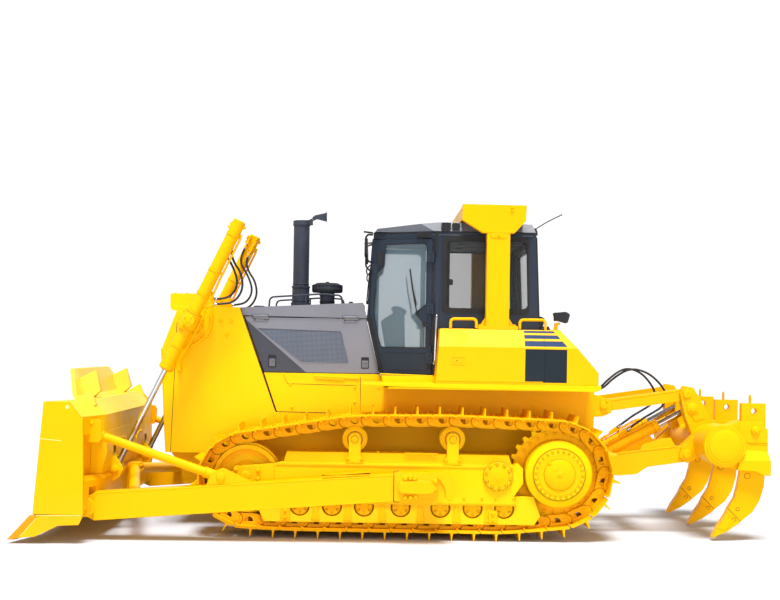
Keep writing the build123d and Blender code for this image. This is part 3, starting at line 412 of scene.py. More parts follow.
# ------------------------------------------------------------ mesh building
class Kit:
    """Collects solids in model millimetres and makes them one piece."""

    def __init__(self, name, body, mat, slot, smooth=32.0, bevel=0.0):
        self.name, self.body, self.mat, self.slot = name, body, mat, slot
        self.smooth, self.bevel = smooth, bevel
        self.V, self.F = [], []

    def add(self, verts, faces):
        o = len(self.V)
        self.V += [tuple(v) for v in verts]
        self.F += [tuple(i + o for i in f) for f in faces]

    def mirror(self, start=0):
        """Copies everything from vertex number start across Y = 0."""
        o = len(self.V)
        new = [(x, -y, z) for x, y, z in self.V[start:]]
        fs = [tuple(i - start + o for i in reversed(f)) for f in self.F if min(f) >= start]
        self.V += new
        self.F += fs

    def loop_prism(self, bottom, top):
        n = len(bottom)
        faces = [tuple(range(n))[::-1], tuple(range(n, 2 * n))]
        faces += [(i, (i + 1) % n, n + (i + 1) % n, n + i) for i in range(n)]
        self.add(list(bottom) + list(top), faces)

    def side(self, pts, y0, y1, dx=0.0):
        self.loop_prism([(x, y0, z) for x, z in pts], [(x + dx, y1, z) for x, z in pts])

    def plan(self, pts, z0, z1):
        self.loop_prism([(x, y, z0) for x, y in pts], [(x, y, z1) for x, y in pts])

    def frontal(self, pts, x0, x1):
        self.loop_prism([(x0, y, z) for y, z in pts], [(x1, y, z) for y, z in pts])

    def box(self, x0, x1, y0, y1, z0, z1):
        self.side([(x0, z0), (x1, z0), (x1, z1), (x0, z1)], y0, y1)

    def ring_verts(self, c, ax, r, n, phase=0.0):
        ax = Vector(ax).normalized()
        u = ax.orthogonal().normalized() if abs(ax.y) < 0.9 else Vector((1, 0, 0))
        u = (u - ax * u.dot(ax)).normalized()
        w = ax.cross(u)
        return [Vector(c) + u * (r * math.cos(2 * math.pi * i / n + phase)) + w * (r * math.sin(2 * math.pi * i / n + phase))
                for i in range(n)]

    def cyl(self, p, q, r, n=24, r2=None, chamfer=0.0):
        p, q = Vector(p), Vector(q)
        ax = (q - p)
        r2 = r if r2 is None else r2
        rings = [(p, r)]
        if chamfer:
            d = ax.normalized() * chamfer
            rings = [(p, r - chamfer), (p + d, r), (q - d, r2), (q, r2 - chamfer)]
        else:
            rings = [(p, r), (q, r2)]
        self.lathe_rings(rings, ax, n)

    def lathe_rings(self, rings, ax, n=24, phase=0.0, close=True):
        """Closed solid of revolution from (centre, radius) rings."""
        o = []
        for c, r in rings:
            o += self.ring_verts(c, ax, r, n, phase)
        faces = []
        for k in range(len(rings) - 1):
            a, b = k * n, (k + 1) * n
            faces += [(a + i, a + (i + 1) % n, b + (i + 1) % n, b + i) for i in range(n)]
        if close:
            faces += [tuple(range(n))[::-1], tuple(range((len(rings) - 1) * n, len(rings) * n))]
        self.add(o, faces)

    def lathe(self, c, ax, profile, n=32):
        """profile: (height along ax, radius) pairs from base to top."""
        ax = Vector(ax).normalized()
        self.lathe_rings([(Vector(c) + ax * h, r) for h, r in profile], ax, n)

    def annulus(self, c, ax, r0, r1, h, n=40):
        """Flat ring of inner radius r0 and outer r1 standing h proud."""
        ax = Vector(ax).normalized()
        c = Vector(c)
        rings = [self.ring_verts(c, ax, r0, n), self.ring_verts(c, ax, r1, n),
                 self.ring_verts(c + ax * h, ax, r1, n), self.ring_verts(c + ax * h, ax, r0, n)]
        vs = [v for r in rings for v in r]
        fs = []
        for k in range(4):
            a, b = k * n, ((k + 1) % 4) * n
            fs += [(a + i, a + (i + 1) % n, b + (i + 1) % n, b + i) for i in range(n)]
        self.add(vs, fs)

    def bolt(self, c, ax, r=15.0, h=12.0, washer=True, phase=0.3):
        ax = Vector(ax).normalized()
        c = Vector(c) - ax * 1.0
        if washer:
            self.lathe_rings([(c, r * 1.38), (c + ax * (h * 0.30), r * 1.38), (c + ax * (h * 0.36), r * 1.28)], ax, 14)
            c = c + ax * (h * 0.33)
        self.lathe_rings([(c, r), (c + ax * (h * 0.80), r), (c + ax * h, r * 0.82)], ax, 6, phase)

    def tube(self, pts, r, n=12, sub=6, closed_ends=True, smooth=True):
        """Round tube through the points, on a smooth path."""
        P = [Vector(p) for p in pts]
        path = []
        if smooth and len(P) > 2:
            for i in range(len(P) - 1):
                p0 = P[max(i - 1, 0)]
                p1, p2 = P[i], P[i + 1]
                p3 = P[min(i + 2, len(P) - 1)]
                for k in range(sub):
                    t = k / sub
                    path.append(0.5 * ((2 * p1) + (p2 - p0) * t + (2 * p0 - 5 * p1 + 4 * p2 - p3) * t * t
                                       + (3 * p1 - p0 - 3 * p2 + p3) * t ** 3))
            path.append(P[-1])
        else:
            path = P
        self.tube_path(path, r, n)

    def tube_path(self, path, r, n=12):
        up = None
        verts, faces = [], []
        for i, p in enumerate(path):
            d = (path[min(i + 1, len(path) - 1)] - path[max(i - 1, 0)]).normalized()
            if up is None:
                up = d.orthogonal().normalized()
            up = (up - d * up.dot(d)).normalized()
            w = d.cross(up)
            verts += [p + up * (r * math.cos(2 * math.pi * k / n)) + w * (r * math.sin(2 * math.pi * k / n)) for k in range(n)]
        m = len(path)
        for i in range(m - 1):
            a, b = i * n, (i + 1) * n
            faces += [(a + k, a + (k + 1) % n, b + (k + 1) % n, b + k) for k in range(n)]
        faces += [tuple(range(n))[::-1], tuple(range((m - 1) * n, m * n))]
        self.add(verts, faces)

    def bent(self, pts, r, bend=60.0, n=12):
        """Round bar along straight runs with rounded corners."""
        P = [Vector(p) for p in pts]
        path = [P[0]]
        for i in range(1, len(P) - 1):
            a, b = (P[i - 1] - P[i]), (P[i + 1] - P[i])
            t = min(bend, a.length * 0.45, b.length * 0.45)
            s, e = P[i] + a.normalized() * t, P[i] + b.normalized() * t
            for k in range(7):
                u = k / 6
                path.append((1 - u) ** 2 * s + 2 * u * (1 - u) * P[i] + u * u * e)
        path.append(P[-1])
        self.tube_path(path, r, n)

    def holed(self, outer, hole, fn):
        """Plate from an outline with one hole; fn(a, b, k) places a point of
        the outline on face k (0 or 1)."""
        tri = tessellate_polygon([[Vector((a, b, 0)) for a, b in outer], [Vector((a, b, 0)) for a, b in hole]])
        pts = list(outer) + list(hole)
        n, h = len(outer), len(hole)
        v = [fn(a, b, 0) for a, b in pts] + [fn(a, b, 1) for a, b in pts]
        t = n + h
        f = [tuple(x) for x in tri] + [tuple(i + t for i in reversed(x)) for x in tri]
        f += [(i, (i + 1) % n, t + (i + 1) % n, t + i) for i in range(n)]
        f += [(n + (i + 1) % h, n + i, t + n + i, t + n + (i + 1) % h) for i in range(h)]
        self.add(v, f)

    def make(self):
        me = bpy.data.meshes.new(self.name)
        me.from_pydata([R(*v) for v in self.V], [], self.F)
        bm = bmesh.new()
        bm.from_mesh(me)
        bmesh.ops.recalc_face_normals(bm, faces=bm.faces)
        bm.to_mesh(me)
        bm.free()
        me.validate()
        me.shade_smooth()
        me.set_sharp_from_angle(angle=math.radians(self.smooth))
        me.materials.append(self.mat)
        ob = bpy.data.objects.new(self.name, me)
        bpy.context.scene.collection.objects.link(ob)
        if self.bevel:
            b = ob.modifiers.new("edges", "BEVEL")
            b.width = self.bevel
            b.segments = 2
            b.limit_method = "ANGLE"
            b.angle_limit = math.radians(40)
            b.harden_normals = False
        if self.body:
            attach(ob, self.body)
        return ob


# ------------------------------------------------------------------- hoses
YOKE, LIFT_EYE = (3658.0, 2097.0), (4374.0, 615.0)
LIFT_LEN = math.dist(YOKE, LIFT_EYE)
LU = ((LIFT_EYE[0] - YOKE[0]) / LIFT_LEN, (LIFT_EYE[1] - YOKE[1]) / LIFT_LEN)


def on_lift(t, off=0.0, y=865.0, s=1):
    """Point at t down the lift cylinder's axis, off towards the rear."""
    return (YOKE[0] + LU[0] * t + LU[1] * off, s * y, YOKE[1] + LU[1] * t - LU[0] * off)


def port(y, t):
    return (-842 + 0.78 * t, y, 1030 - 0.6258 * t)


ROUTE_F = [(3441, 815, 2322), (3368, 815, 2320), (3252, 800, 2352), (3185, 790, 2480), (3240, 782, 2650),
           (3338, 780, 2800), on_lift(-890, -40, 780), on_lift(-984.6, -40, 780)]
ROUTE_R = [(3437, 845, 2272), (3350, 845, 2270), (3215, 815, 2295), (3135, 795, 2430), (3160, 784, 2590),
           (3240, 780, 2700), on_lift(-820, 34, 780), on_lift(-914.6, 34, 780)]
ROUTE_RIP = [(-440.4, 80, 1432), (-590, 80, 1432), (-735, 98, 1585), (-900, 140, 1690), (-1075, 195, 1645),
             (-1200, 245, 1525), (-1265, 262, 1405), (-1222, 262, 1292), (-1110, 262, 1222), port(262, -195), port(262, 0)]


def nurbs(name, pts, depth=0.0):
    cu = bpy.data.curves.new(name, "CURVE")
    cu.dimensions = "3D"
    sp = cu.splines.new("NURBS")
    sp.points.add(len(pts) - 1)
    for p, q in zip(sp.points, pts):
        p.co = (*R(*q), 1.0)
    sp.order_u = 3
    sp.use_endpoint_u = True
    cu.resolution_u = 16
    cu.bevel_depth = depth
    cu.bevel_resolution = 5
    cu.use_fill_caps = True
    ob = bpy.data.objects.new(name, cu)
    bpy.context.scene.collection.objects.link(ob)
    return ob


def curve_points(pts):
    """Points read from the route's own spline."""
    ob = nurbs("route_read", pts)
    bpy.context.view_layer.update()
    dg = bpy.context.evaluated_depsgraph_get()
    me = bpy.data.meshes.new_from_object(ob.evaluated_get(dg))
    out = [v.co.copy() for v in me.vertices]
    bpy.data.objects.remove(ob)
    bpy.data.meshes.remove(me)
    return out


def length_of(P):
    return sum((P[i + 1] - P[i]).length for i in range(len(P) - 1))


def hose_mat():
    """Braided black hose with a slight sheen."""
    m, nt, nodes, links, bsdf = new_mat("hose_rubber")
    tc, vec = base_nodes(nodes, links)
    w = N(nodes, "ShaderNodeTexWave", wave_type="BANDS", bands_direction="DIAGONAL")
    w.inputs["Scale"].default_value = 60.0
    links.new(vec, w.inputs["Vector"])
    n = N(nodes, "ShaderNodeTexNoise")
    n.inputs["Scale"].default_value = 14.0
    links.new(vec, n.inputs["Vector"])
    c = mix_color(nodes, links, n.outputs["Fac"], (0.004, 0.004, 0.005), (0.012, 0.012, 0.013))
    links.new(c, bsdf.inputs["Base Color"])
    b = N(nodes, "ShaderNodeBump")
    b.inputs["Strength"].default_value = 0.25
    b.inputs["Distance"].default_value = 0.001
    links.new(w.outputs["Fac"], b.inputs["Height"])
    links.new(b.outputs["Normal"], bsdf.inputs["Normal"])
    r = N(nodes, "ShaderNodeMapRange")
    r.inputs["To Min"].default_value = 0.38
    r.inputs["To Max"].default_value = 0.6
    links.new(n.outputs["Fac"], r.inputs["Value"])
    links.new(r.outputs["Result"], bsdf.inputs["Roughness"])
    return m


hose_black = hose_mat()
for side_name, s in (("left", 1), ("right", -1)):
    for kind, route in (("front", ROUTE_F), ("rear", ROUTE_R)):
        pts = [(x, s * abs(y), z) for x, y, z in route]
        ob = nurbs("lift_hose_%s_%s_smooth" % (side_name, kind), pts, 0.0115)
        ob.data.materials.append(hose_black)
        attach(ob, "lift_barrel_" + side_name)
        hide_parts("lift_hose_%s_%s" % (side_name, kind))
        tuple(R(*pts[0]))
        length_of(curve_points(pts))
    pts = [(x, s * y, z) for x, y, z in ROUTE_RIP]
    P = curve_points(pts)
    k = Kit("ripper_hose_%s_smooth" % side_name, None, hose_black, "hose", smooth=80.0)
    k.tube_path([Vector((p.x * 1000 + XM, p.y * 1000, p.z * 1000)) for p in P], 11.5, 14)
    ob = k.make()
    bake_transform(ob)
    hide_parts("ripper_hose_" + side_name)
    tuple(R(*pts[0]))
    [tuple(p) for p in P]


# ------------------------------------------------- tracks, shoe by shoe
TY, SHOE_W, N_SHOE = 1000.0, 560.0, 41
SPR, IDL = (0.0, 655.0), (3045.0, 560.0)
CARRIERS = [(1987.0, 962.0), (1030.0, 974.0)]
ROLLERS = [2515.0, 2200.0, 1888.0, 1530.0, 1143.0, 829.0, 521.0]
ROLLER_Z = 305.0
LOOP = [(IDL[0], IDL[1], 406.0), (CARRIERS[0][0], CARRIERS[0][1], 180.0), (CARRIERS[1][0], CARRIERS[1][1], 180.0),
        (SPR[0], SPR[1], 466.0), (521.0, 305.0, 165.0), (2515.0, 305.0, 165.0)]


def belt(circles):
    n = len(circles)
    tang = []
    for i in range(n):
        x0, z0, r0 = circles[i]
        x1, z1, r1 = circles[(i + 1) % n]
        d = math.hypot(x1 - x0, z1 - z0)
        a = math.atan2(z1 - z0, x1 - x0) - math.acos((r0 - r1) / d)
        tang.append(((x0 + r0 * math.cos(a), z0 + r0 * math.sin(a)), (x1 + r1 * math.cos(a), z1 + r1 * math.sin(a)), a))
    out = []
    for i in range(n):
        p, q, a = tang[i]
        out.append(("line", p, q))
        c = circles[(i + 1) % n]
        a2 = tang[(i + 1) % n][2]
        while a2 < a:
            a2 += 2 * math.pi
        if a2 - a > math.pi:
            a2 -= 2 * math.pi
        out.append(("arc", (c[0], c[1]), c[2], a, a2))
    return out


def piece_length(p):
    return math.dist(p[1], p[2]) if p[0] == "line" else abs(p[4] - p[3]) * p[2]


def walk(pieces, s):
    for pc in pieces:
        L = piece_length(pc)
        if s <= L:
            if pc[0] == "line":
                t = s / L
                return (pc[1][0] + (pc[2][0] - pc[1][0]) * t, pc[1][1] + (pc[2][1] - pc[1][1]) * t)
            a = pc[3] + (pc[4] - pc[3]) * s / L
            return (pc[1][0] + pc[2] * math.cos(a), pc[1][1] + pc[2] * math.sin(a))
        s -= L
    return walk(pieces, 0.0)


PIECES = belt(LOOP)
TOTAL = sum(piece_length(p) for p in PIECES)
PITCH = TOTAL / N_SHOE
BOTTOM = max(range(len(PIECES)), key=lambda i: PIECES[i][0] == "line" and PIECES[i][2][1] < 200 and piece_length(PIECES[i]))
START = sum(piece_length(p) for p in PIECES[:BOTTOM]) + 1835.0 - PIECES[BOTTOM][1][0]
PINS = [walk(PIECES, (START + i * PITCH) % TOTAL) for i in range(N_SHOE)]


def arc(cx, cy, r, a0, a1, n):
    return [(cx + r * math.cos(math.radians(a0 + (a1 - a0) * i / n)), cy + r * math.sin(math.radians(a0 + (a1 - a0) * i / n)))
            for i in range(n + 1)]


def rounded(pts, r, n=5):
    """Outline with its corners rounded."""
    out = []
    m = len(pts)
    for i in range(m):
        p, a, b = Vector(pts[i]), Vector(pts[i - 1]), Vector(pts[(i + 1) % m])
        da, db = (a - p), (b - p)
        t = min(r, da.length * 0.45, db.length * 0.45)
        s, e = p + da.normalized() * t, p + db.normalized() * t
        for k in range(n + 1):
            u = k / n
            q = (1 - u) ** 2 * s + 2 * u * (1 - u) * p + u * u * e
            out.append((q.x, q.y))
    return out


def offset(pts, d):
    """Convex or nearly convex outline moved outwards by d."""
    n = len(pts)
    area = sum(pts[i][0] * pts[(i + 1) % n][1] - pts[(i + 1) % n][0] * pts[i][1] for i in range(n))
    s = 1.0 if area > 0 else -1.0
    out = []
    for i in range(n):
        p, a, b = Vector(pts[i]), Vector(pts[i - 1]), Vector(pts[(i + 1) % n])
        u, v = (p - a).normalized(), (b - p).normalized()
        nu, nv = Vector((u.y, -u.x)) * s, Vector((v.y, -v.x)) * s
        m = (nu + nv)
        if m.length < 1e-6:
            m = nu
        m = m / max(0.35, m.length_squared / 2)
        out.append((p.x + m.x * d, p.y + m.y * d))
    return out


def track_piece(side_name, yc):
    k = Kit("track_%s_chain" % side_name, "chassis", shoe_mat, "yellow_paint", smooth=28.0)
    for i in range(N_SHOE):
        p, q = Vector(PINS[i]), Vector(PINS[(i + 1) % N_SHOE])
        L = (q - p).length
        u = (q - p) / L
        r = Vector((u.y, -u.x))

        def W(t, n, y):
            c = p + u * t + r * n
            return (c.x, yc + y, c.y)
        h = SHOE_W / 2
        # shoe plate: flat, with a raised front lip and a hooked rear lip
        prof = [(2, 50), (L - 20, 50), (L - 6, 46), (L + 4, 34), (L + 14, 34), (L + 6, 56), (L - 10, 65), (78, 65), (73, 88), (71, 139),
                (61, 139), (56, 92), (50, 68), (44, 66), (16, 65), (4, 62)]
        k.loop_prism([W(t, n, -h) for t, n in prof], [W(t, n, h) for t, n in prof])
        for t in (112, 168):
            for y in (-69, 69):
                c = W(t, 65, y)
                k.bolt(c, (r.x, 0, r.y), 17, 15, washer=False, phase=0.2)
        outline = arc(0, 0, 50, 250, 105, 9) + [(30, 49), (L - 44, 49)] + arc(L, 0, 57, 130, 232, 7) + [(L - 62, -60), (40, -60)]
        window = [(60, 20), (148, 20), (147, 2), (138, -16), (120, -28), (92, -28), (72, -16), (61, 2)]
        for s in (1, -1):
            ya, yb = (69, 92) if s > 0 else (-92, -69)
            k.holed(outline, window, lambda a, b, f, ya=ya, yb=yb: W(a, b, yb if f else ya))
            ya, yb = (46, 68) if s > 0 else (-68, -46)
            inner = [(L - 105, 40), (L - 105, -56), (L - 20, -58)] + arc(L, 0, 49, -100, 80, 9) + [(L - 10, 47)]
            k.loop_prism([W(t, n, ya) for t, n in inner], [W(t, n, yb) for t, n in inner])
            # rail pad that the rollers run on
            rail = [(30, -60), (L - 30, -60), (L - 34, -50), (34, -50)]
            k.loop_prism([W(t, n, s * 44) for t, n in rail], [W(t, n, s * 95) for t, n in rail])
            # link boss ring and pin end
            k.lathe_rings([(W(0, 0, s * 90), 46), (W(0, 0, s * 96), 44), (W(0, 0, s * 96.5), 30)], (0, s, 0), 20)
            k.lathe_rings([(W(0, 0, s * 96), 24), (W(0, 0, s * 101), 24), (W(0, 0, s * 103), 20)], (0, s, 0), 16)
        k.lathe_rings([(W(0, 0, -47), 37), (W(0, 0, 47), 37)], (0, 1, 0), 18)
    ob = k.make()
    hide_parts("track_" + side_name)
    return ob


shoe_mat = paint("yellow_track", (0.94, 0.47, 0.001), dark=0.93, light=1.0, rough=(0.4, 0.55), coat=0.0, peel=0.45, grain=120.0,
                 bevel=0.004, dust=0.06, dust_color=(0.70, 0.45, 0.10), spec=0.06)
track_piece("left", TY)
track_piece("right", -TY)


# ------------------------------------------------- undercarriage details
def both_sides(name, body, mat, slot, fill, smooth=32.0, bevel=0.0):
    """One piece with fill(k, s) run for the left (s=1) and mirrored."""
    k = Kit(name, body, mat, slot, smooth, bevel)
    fill(k)
    k.mirror()
    return k.make()


def bolts_round(k, c, ax, r, n, size, h, phase=0.0, y=None):
    ax = Vector(ax).normalized()
    for i in range(n):
        a = 2 * math.pi * i / n + phase
        p = Vector((c[0] + r * math.cos(a), y, c[1] + r * math.sin(a)))
        k.bolt(p, ax, size, h, washer=False, phase=a)


def under_yellow(k):
    Y = (0, 1, 0)
    # sprocket hub: ring, bolts, boss rings and plugs
    k.annulus((0, 1244, 655), Y, 254, 262, 3, 72)
    bolts_round(k, SPR, Y, 226, 26, 11, 9, 0.05, y=1262)
    k.annulus((0, 1262, 655), Y, 150, 206, 5, 64)
    k.lathe((0, 1268, 655), Y, [(0, 150), (5, 150), (18, 128), (24, 60), (25, 30)], 56)
    k.lathe((0, 1288, 655), Y, [(0, 30), (5, 30), (8, 26)], 20)
    k.bolt((0, 1296, 655), Y, 12, 8, washer=False)
    for a in (0.9, 2.9, 4.6):
        k.bolt((60 * math.cos(a), 1288, 655 + 60 * math.sin(a)), Y, 8, 7, washer=False)
    k.lathe((95, 1279, 765), Y, [(0, 17), (8, 17), (10, 13)], 16)
    # drum steps and the segment bolts
    k.annulus((0, 1214, 655), Y, 270, 322, 6, 72)
    for i in range(27):
        a = 2 * math.pi * (i + 0.5) / 27
        k.bolt((388 * math.cos(a), 1030, 655 + 388 * math.sin(a)), Y, 15, 14, washer=True)
    k.annulus((0, 1029, 655), Y, 330, 420, 8, 72)
    # pivot cover
    k.lathe((590, 1218, 628), Y, [(0, 142), (8, 142), (12, 136), (13, 60), (16, 52), (17, 20)], 48)
    bolts_round(k, (590, 628), Y, 118, 10, 13, 11, 0.2, y=1230)
    # roller end caps
    for x in ROLLERS:
        k.lathe((x, 1126, ROLLER_Z), Y, [(0, 86), (26, 86), (36, 78), (38, 40), (44, 34), (45, 12)], 32)
        bolts_round(k, (x, ROLLER_Z), Y, 60, 6, 9, 8, 0.5, y=1164)
        k.side([(x - 104, 420), (x - 78, 392), (x + 78, 392), (x + 104, 420)], 1180, 1196)
        for dx in (-88, 88):
            k.bolt((x + dx, 1195, 408), Y, 13, 12)
    # carrier hubs and post plates
    for x, z in CARRIERS:
        k.lathe((x, 1108, z), Y, [(0, 112), (4, 112), (8, 104), (9, 70)], 36)
        k.lathe((x, 1176, z), Y, [(0, 36), (8, 36), (12, 28)], 24)
        k.side([(x - 90, 728), (x + 90, 728), (x + 76, 750), (x - 76, 750)], 1118, 1190)
        for dx in (-66, 66):
            k.bolt((x + dx, 1182, 760), (0, 1, 0), 12, 10)
    # idler yoke block, cover and bolts
    k.side(rounded([(2905, 524), (3160, 524), (3160, 690), (2905, 690)], 22), 1178, 1204)
    for x, z in ((2924, 645), (2922, 563), (3140, 650), (3140, 560)):
        k.bolt((x, 1203, z), Y, 15, 13)
    k.side(rounded([(2985, 500), (3105, 500), (3105, 560), (2985, 560)], 26), 1200, 1216)
    k.lathe((3045, 1200, 590), Y, [(0, 46), (10, 46), (13, 40), (14, 20)], 28)
    # idler disc dish and hub
    k.annulus(Vector((3045, 1038, 560)), Y, 232, 286, 5, 60)
    k.lathe((3045, 1038, 560), Y, [(0, 170), (10, 166), (34, 118), (36, 60)], 44)
    # brackets on the roller guards
    for x in (2654, 632):
        k.side(rounded([(x - 44, 165), (x + 44, 165), (x + 44, 290), (x - 44, 290)], 20), 1180, 1200)
        k.bolt((x, 1199, 258), Y, 14, 12)
        k.bolt((x, 1199, 196), Y, 14, 12)
    # ribs between the rollers, on the guard's face
    for a, b in zip(ROLLERS[:-1], ROLLERS[1:]):
        m = (a + b) / 2
        k.side([(m - 34, 420), (m + 34, 420), (m + 16, 330), (m + 44, 170), (m - 44, 170), (m - 16, 330)], 1179, 1188)
    # frame's step edge, seams and lifting pads
    k.side([(2750, 700), (440, 700), (440, 716), (2750, 726)], 1199, 1206)
    k.side([(2690, 352), (410, 346), (414, 362), (2694, 368)], 1199, 1205)
    k.box(1180, 1500, 1140, 1160, 824, 838)
    k.bolt((1340, 1118, 824), (0, 0, 1), 15, 12)
    k.bolt((1760, 1090, 830), (0, 0, 1), 15, 12)
    # ladder rung below the fender's edge and its brackets
    k.side([(1673, 1462), (-285, 1462), (-285, 1474), (1673, 1480)], 1236, 1239)


both_sides("undercarriage_fittings", "chassis", cast_yellow, "yellow_paint", under_yellow)


def under_dark(k):
    Y = (0, 1, 0)
    k.annulus((0, 1246, 655), Y, 250.4, 253, 1.4, 72)
    k.annulus((590, 1219.2, 628), Y, 142.2, 145, 1.0, 48)
    for x in ROLLERS:
        k.annulus((x, 1127, ROLLER_Z), Y, 86.4, 89.4, 18, 36)
    for x, z in CARRIERS:
        k.annulus((x, 1109, z), Y, 70, 76, 8, 36)
    k.annulus((3045, 1037.6, 560), Y, 287, 289.6, 6, 64)
    # bolt circle shadows on the hub, the pivot cover and the roller caps
    for i in range(26):
        a = 0.05 + 2 * math.pi * i / 26
        k.annulus((226 * math.cos(a), 1262.2, 655 + 226 * math.sin(a)), Y, 11, 13.4, 0.6, 12)
    for i in range(10):
        a = 0.2 + 2 * math.pi * i / 10
        k.annulus((590 + 118 * math.cos(a), 1230.2, 628 + 118 * math.sin(a)), Y, 13.2, 16.4, 0.6, 12)
    for x in ROLLERS:
        for i in range(6):
            a = 0.5 + 2 * math.pi * i / 6
            k.annulus((x + 60 * math.cos(a), 1164.2, ROLLER_Z + 60 * math.sin(a)), Y, 9, 11.5, 0.6, 10)
    for x, z in CARRIERS:
        k.annulus((x, 1176.5, z), Y, 36, 38.6, 0.8, 28)
    k.annulus((0, 1288.5, 655), Y, 30, 32.6, 0.8, 28)


both_sides("undercarriage_seals_and_shadows", "chassis", rubber, "dark_metal", under_dark)


# -------------------------------------------------------- push arms, blade
def arm_yellow(k):
    Y = (0, 1, 0)
    # bearing cap block bolted over the trunnion, with its bolt lugs
    k.side(rounded([(1604, 690), (1604, 418), (1380, 418), (1300, 452), (1215, 452), (1190, 500), (1190, 600), (1215, 660), (1420, 668), (1560, 694)], 24), 1598, 1622)
    k.side(rounded([(1575, 606), (1575, 492), (1290, 482), (1222, 500), (1205, 545), (1215, 590), (1280, 618)], 48, 8), 1600, 1642)
    k.side(rounded([(1560, 596), (1560, 502), (1290, 492), (1236, 508), (1220, 545), (1230, 584), (1284, 608)], 46, 8), 1640, 1660)
    k.side(rounded([(1262, 640), (1262, 690), (1160, 690), (1052, 640), (1030, 540), (1040, 450), (1110, 430), (1130, 560), (1190, 640)], 40, 6), 1590, 1618)
    for x, z in ((1501, 634), (1417, 635), (1499, 454), (1403, 465)):
        k.bolt((x, 1620, z), Y, 21, 20)
    k.bolt((1455, 1620, 640), Y, 21, 20)
    k.bolt((1452, 1620, 456), Y, 21, 20)
    for x, z in ((1222, 612), (1221, 540)):
        k.bolt((x, 1624, z), Y, 21, 20)
    # wear strip on the arm's top and stiffening plates
    k.side([(2287, 646), (1834, 664), (1834, 676), (2287, 640)], 1440, 1560)
    k.side([(2287, 618), (2287, 646), (1834, 680), (1834, 650)], 1440, 1560)
    k.box(1700, 1704, 1402, 1598, 420, 640)
    # front pin with its collar
    k.lathe((4497, 1573, 312), Y, [(0, 88), (24, 88), (30, 80), (31, 44), (36, 40), (37, 14)], 40)
    k.bolt((4497, 1608, 312), Y, 15, 10, washer=False)
    k.annulus((4540, 1574, 310), Y, 40, 72, 10, 40)
    # collars where the brace and its bracket join the arm
    k.lathe((3243, 1558, 602), Y, [(0, 42), (14, 42), (18, 36), (19, 14)], 32)
    k.side(rounded([(3370, 540), (3330, 650), (3230, 704), (3110, 650), (2940, 560)], 30), 1546, 1566)
    k.lathe((3243, 1564, 620), Y, [(0, 40), (12, 40), (16, 34), (17, 12)], 32)
    # weld seams along the arm
    for z0, z1 in ((446, 656),):
        k.tube_path([Vector((4420, 1597, z0)), Vector((1630, 1597, z1))], 6, 8)
        k.tube_path([Vector((4420, 1597, 197)), Vector((1630, 1597, 417))], 6, 8)
        k.tube_path([Vector((4420, 1403, z0)), Vector((1630, 1403, z1))], 6, 8)


both_sides("push_arm_fittings", "blade", yellow, "yellow_paint", arm_yellow)


def arm_lines(k):
    # gap round the bearing cap
    for a, b in (((1610, 700), (1610, 410)), ((1610, 700), (1560, 702)), ((1610, 410), (1560, 408))):
        p, q = Vector((a[0], 1600.5, a[1])), Vector((b[0], 1600.5, b[1]))
        k.tube_path([p, q], 3.2, 6)


both_sides("push_arm_gaps", "blade", rubber, "dark_metal", arm_lines)


def wing_x(y, front=True):
    return 0.0 if y <= 1250 else 160.0 * (y - 1250) / 600.0


def blade_yellow(k):
    Y = (0, 1, 0)
    # lifting boss and brace pins
    # cover plates that close the back between the ribs
    for y0, y1 in ((2, 796), (934, 1240)):
        k.side([(4398, 1001), (4383, 800), (4438, 600), (4444, 600), (4389, 800), (4404, 1001)], y0, y1)
    k.side([(4398, 1001), (4386.5, 846), (4392.5, 846), (4404, 1001)], 796, 934)
    k.lathe((4549, 1560, 1036), Y, [(0, 46), (14, 46), (18, 40), (19, 14)], 32)
    k.bolt((4549, 1578, 1036), Y, 14, 9, washer=False)
    k.lathe((4549, 1440, 1036), (0, -1, 0), [(0, 46), (12, 46), (15, 40)], 32)
    for x, z in ((4600, 1100), (4600, 960), (4470, 1100)):
        k.bolt((x, 1560, z), Y, 13, 11)
    # lift rod pin
    k.lathe((4374, 934, 615), Y, [(0, 40), (14, 40), (18, 34), (19, 12)], 32)
    k.lathe((4374, 796, 615), (0, -1, 0), [(0, 40), (12, 40), (16, 34)], 32)
    # ball cap bolts on the centre bracket
    for y in (40, 80):
        k.bolt((4272, y, 570), (-1, 0, 0), 13, 11)
        k.bolt((4272, y, 516), (-1, 0, 0), 13, 11)
    # weld seams and stiffening ribs on the back
    for y in (250, 680, 1050, 1240):
        for dy in (-21, 21):
            k.tube_path([Vector((4540, y + dy, 1000)), Vector((4386, y + dy, 800)), Vector((4440, y + dy, 602))], 6, 6)
    k.tube_path([Vector((4397, 10, 292)), Vector((4397, 1245, 292))], 6, 8)
    k.tube_path([Vector((4397, 10, 560)), Vector((4397, 1245, 560))], 6, 8)
    k.tube_path([Vector((4402, 10, 1000)), Vector((4402, 1245, 1000))], 6, 8)
    k.tube_path([Vector((4402, 10, 1168)), Vector((4402, 1245, 1168))], 6, 8)
    # grease pipes and their block
    k.bent([(4392, 250, 700), (4380, 250, 850), (4388, 420, 900), (4388, 640, 900)], 9, 40)
    k.box(4380, 4404, 610, 670, 880, 920)
    for y in (310, 560):
        k.box(4380, 4398, y - 12, y + 12, 884, 912)


both_sides("blade_fittings", "blade", yellow_back, "yellow_paint", blade_yellow)


def blade_highlight_beads(k):
    """Weld beads and the plug on the blade's end plate, and beads along the end bit's edges, in a pale yellow that
    paints a highlight on them.
    """
    Y = (0, 1, 0)
    k.tube_path([Vector((4880, 1848, 969)), Vector((4684, 1848, 954))], 4.2, 8)
    k.lathe((4633, 1848, 1266), Y, [(0, 19), (3, 19), (3.6, 15), (3.6, 0.5)], 28)
    k.tube_path([Vector((4904, 1848, 263)), Vector((4494, 1848, 266))], 4.2, 8)
    k.tube_path([Vector((5046, 1848, 70)), Vector((4906, 1848, 236))], 3.4, 8)


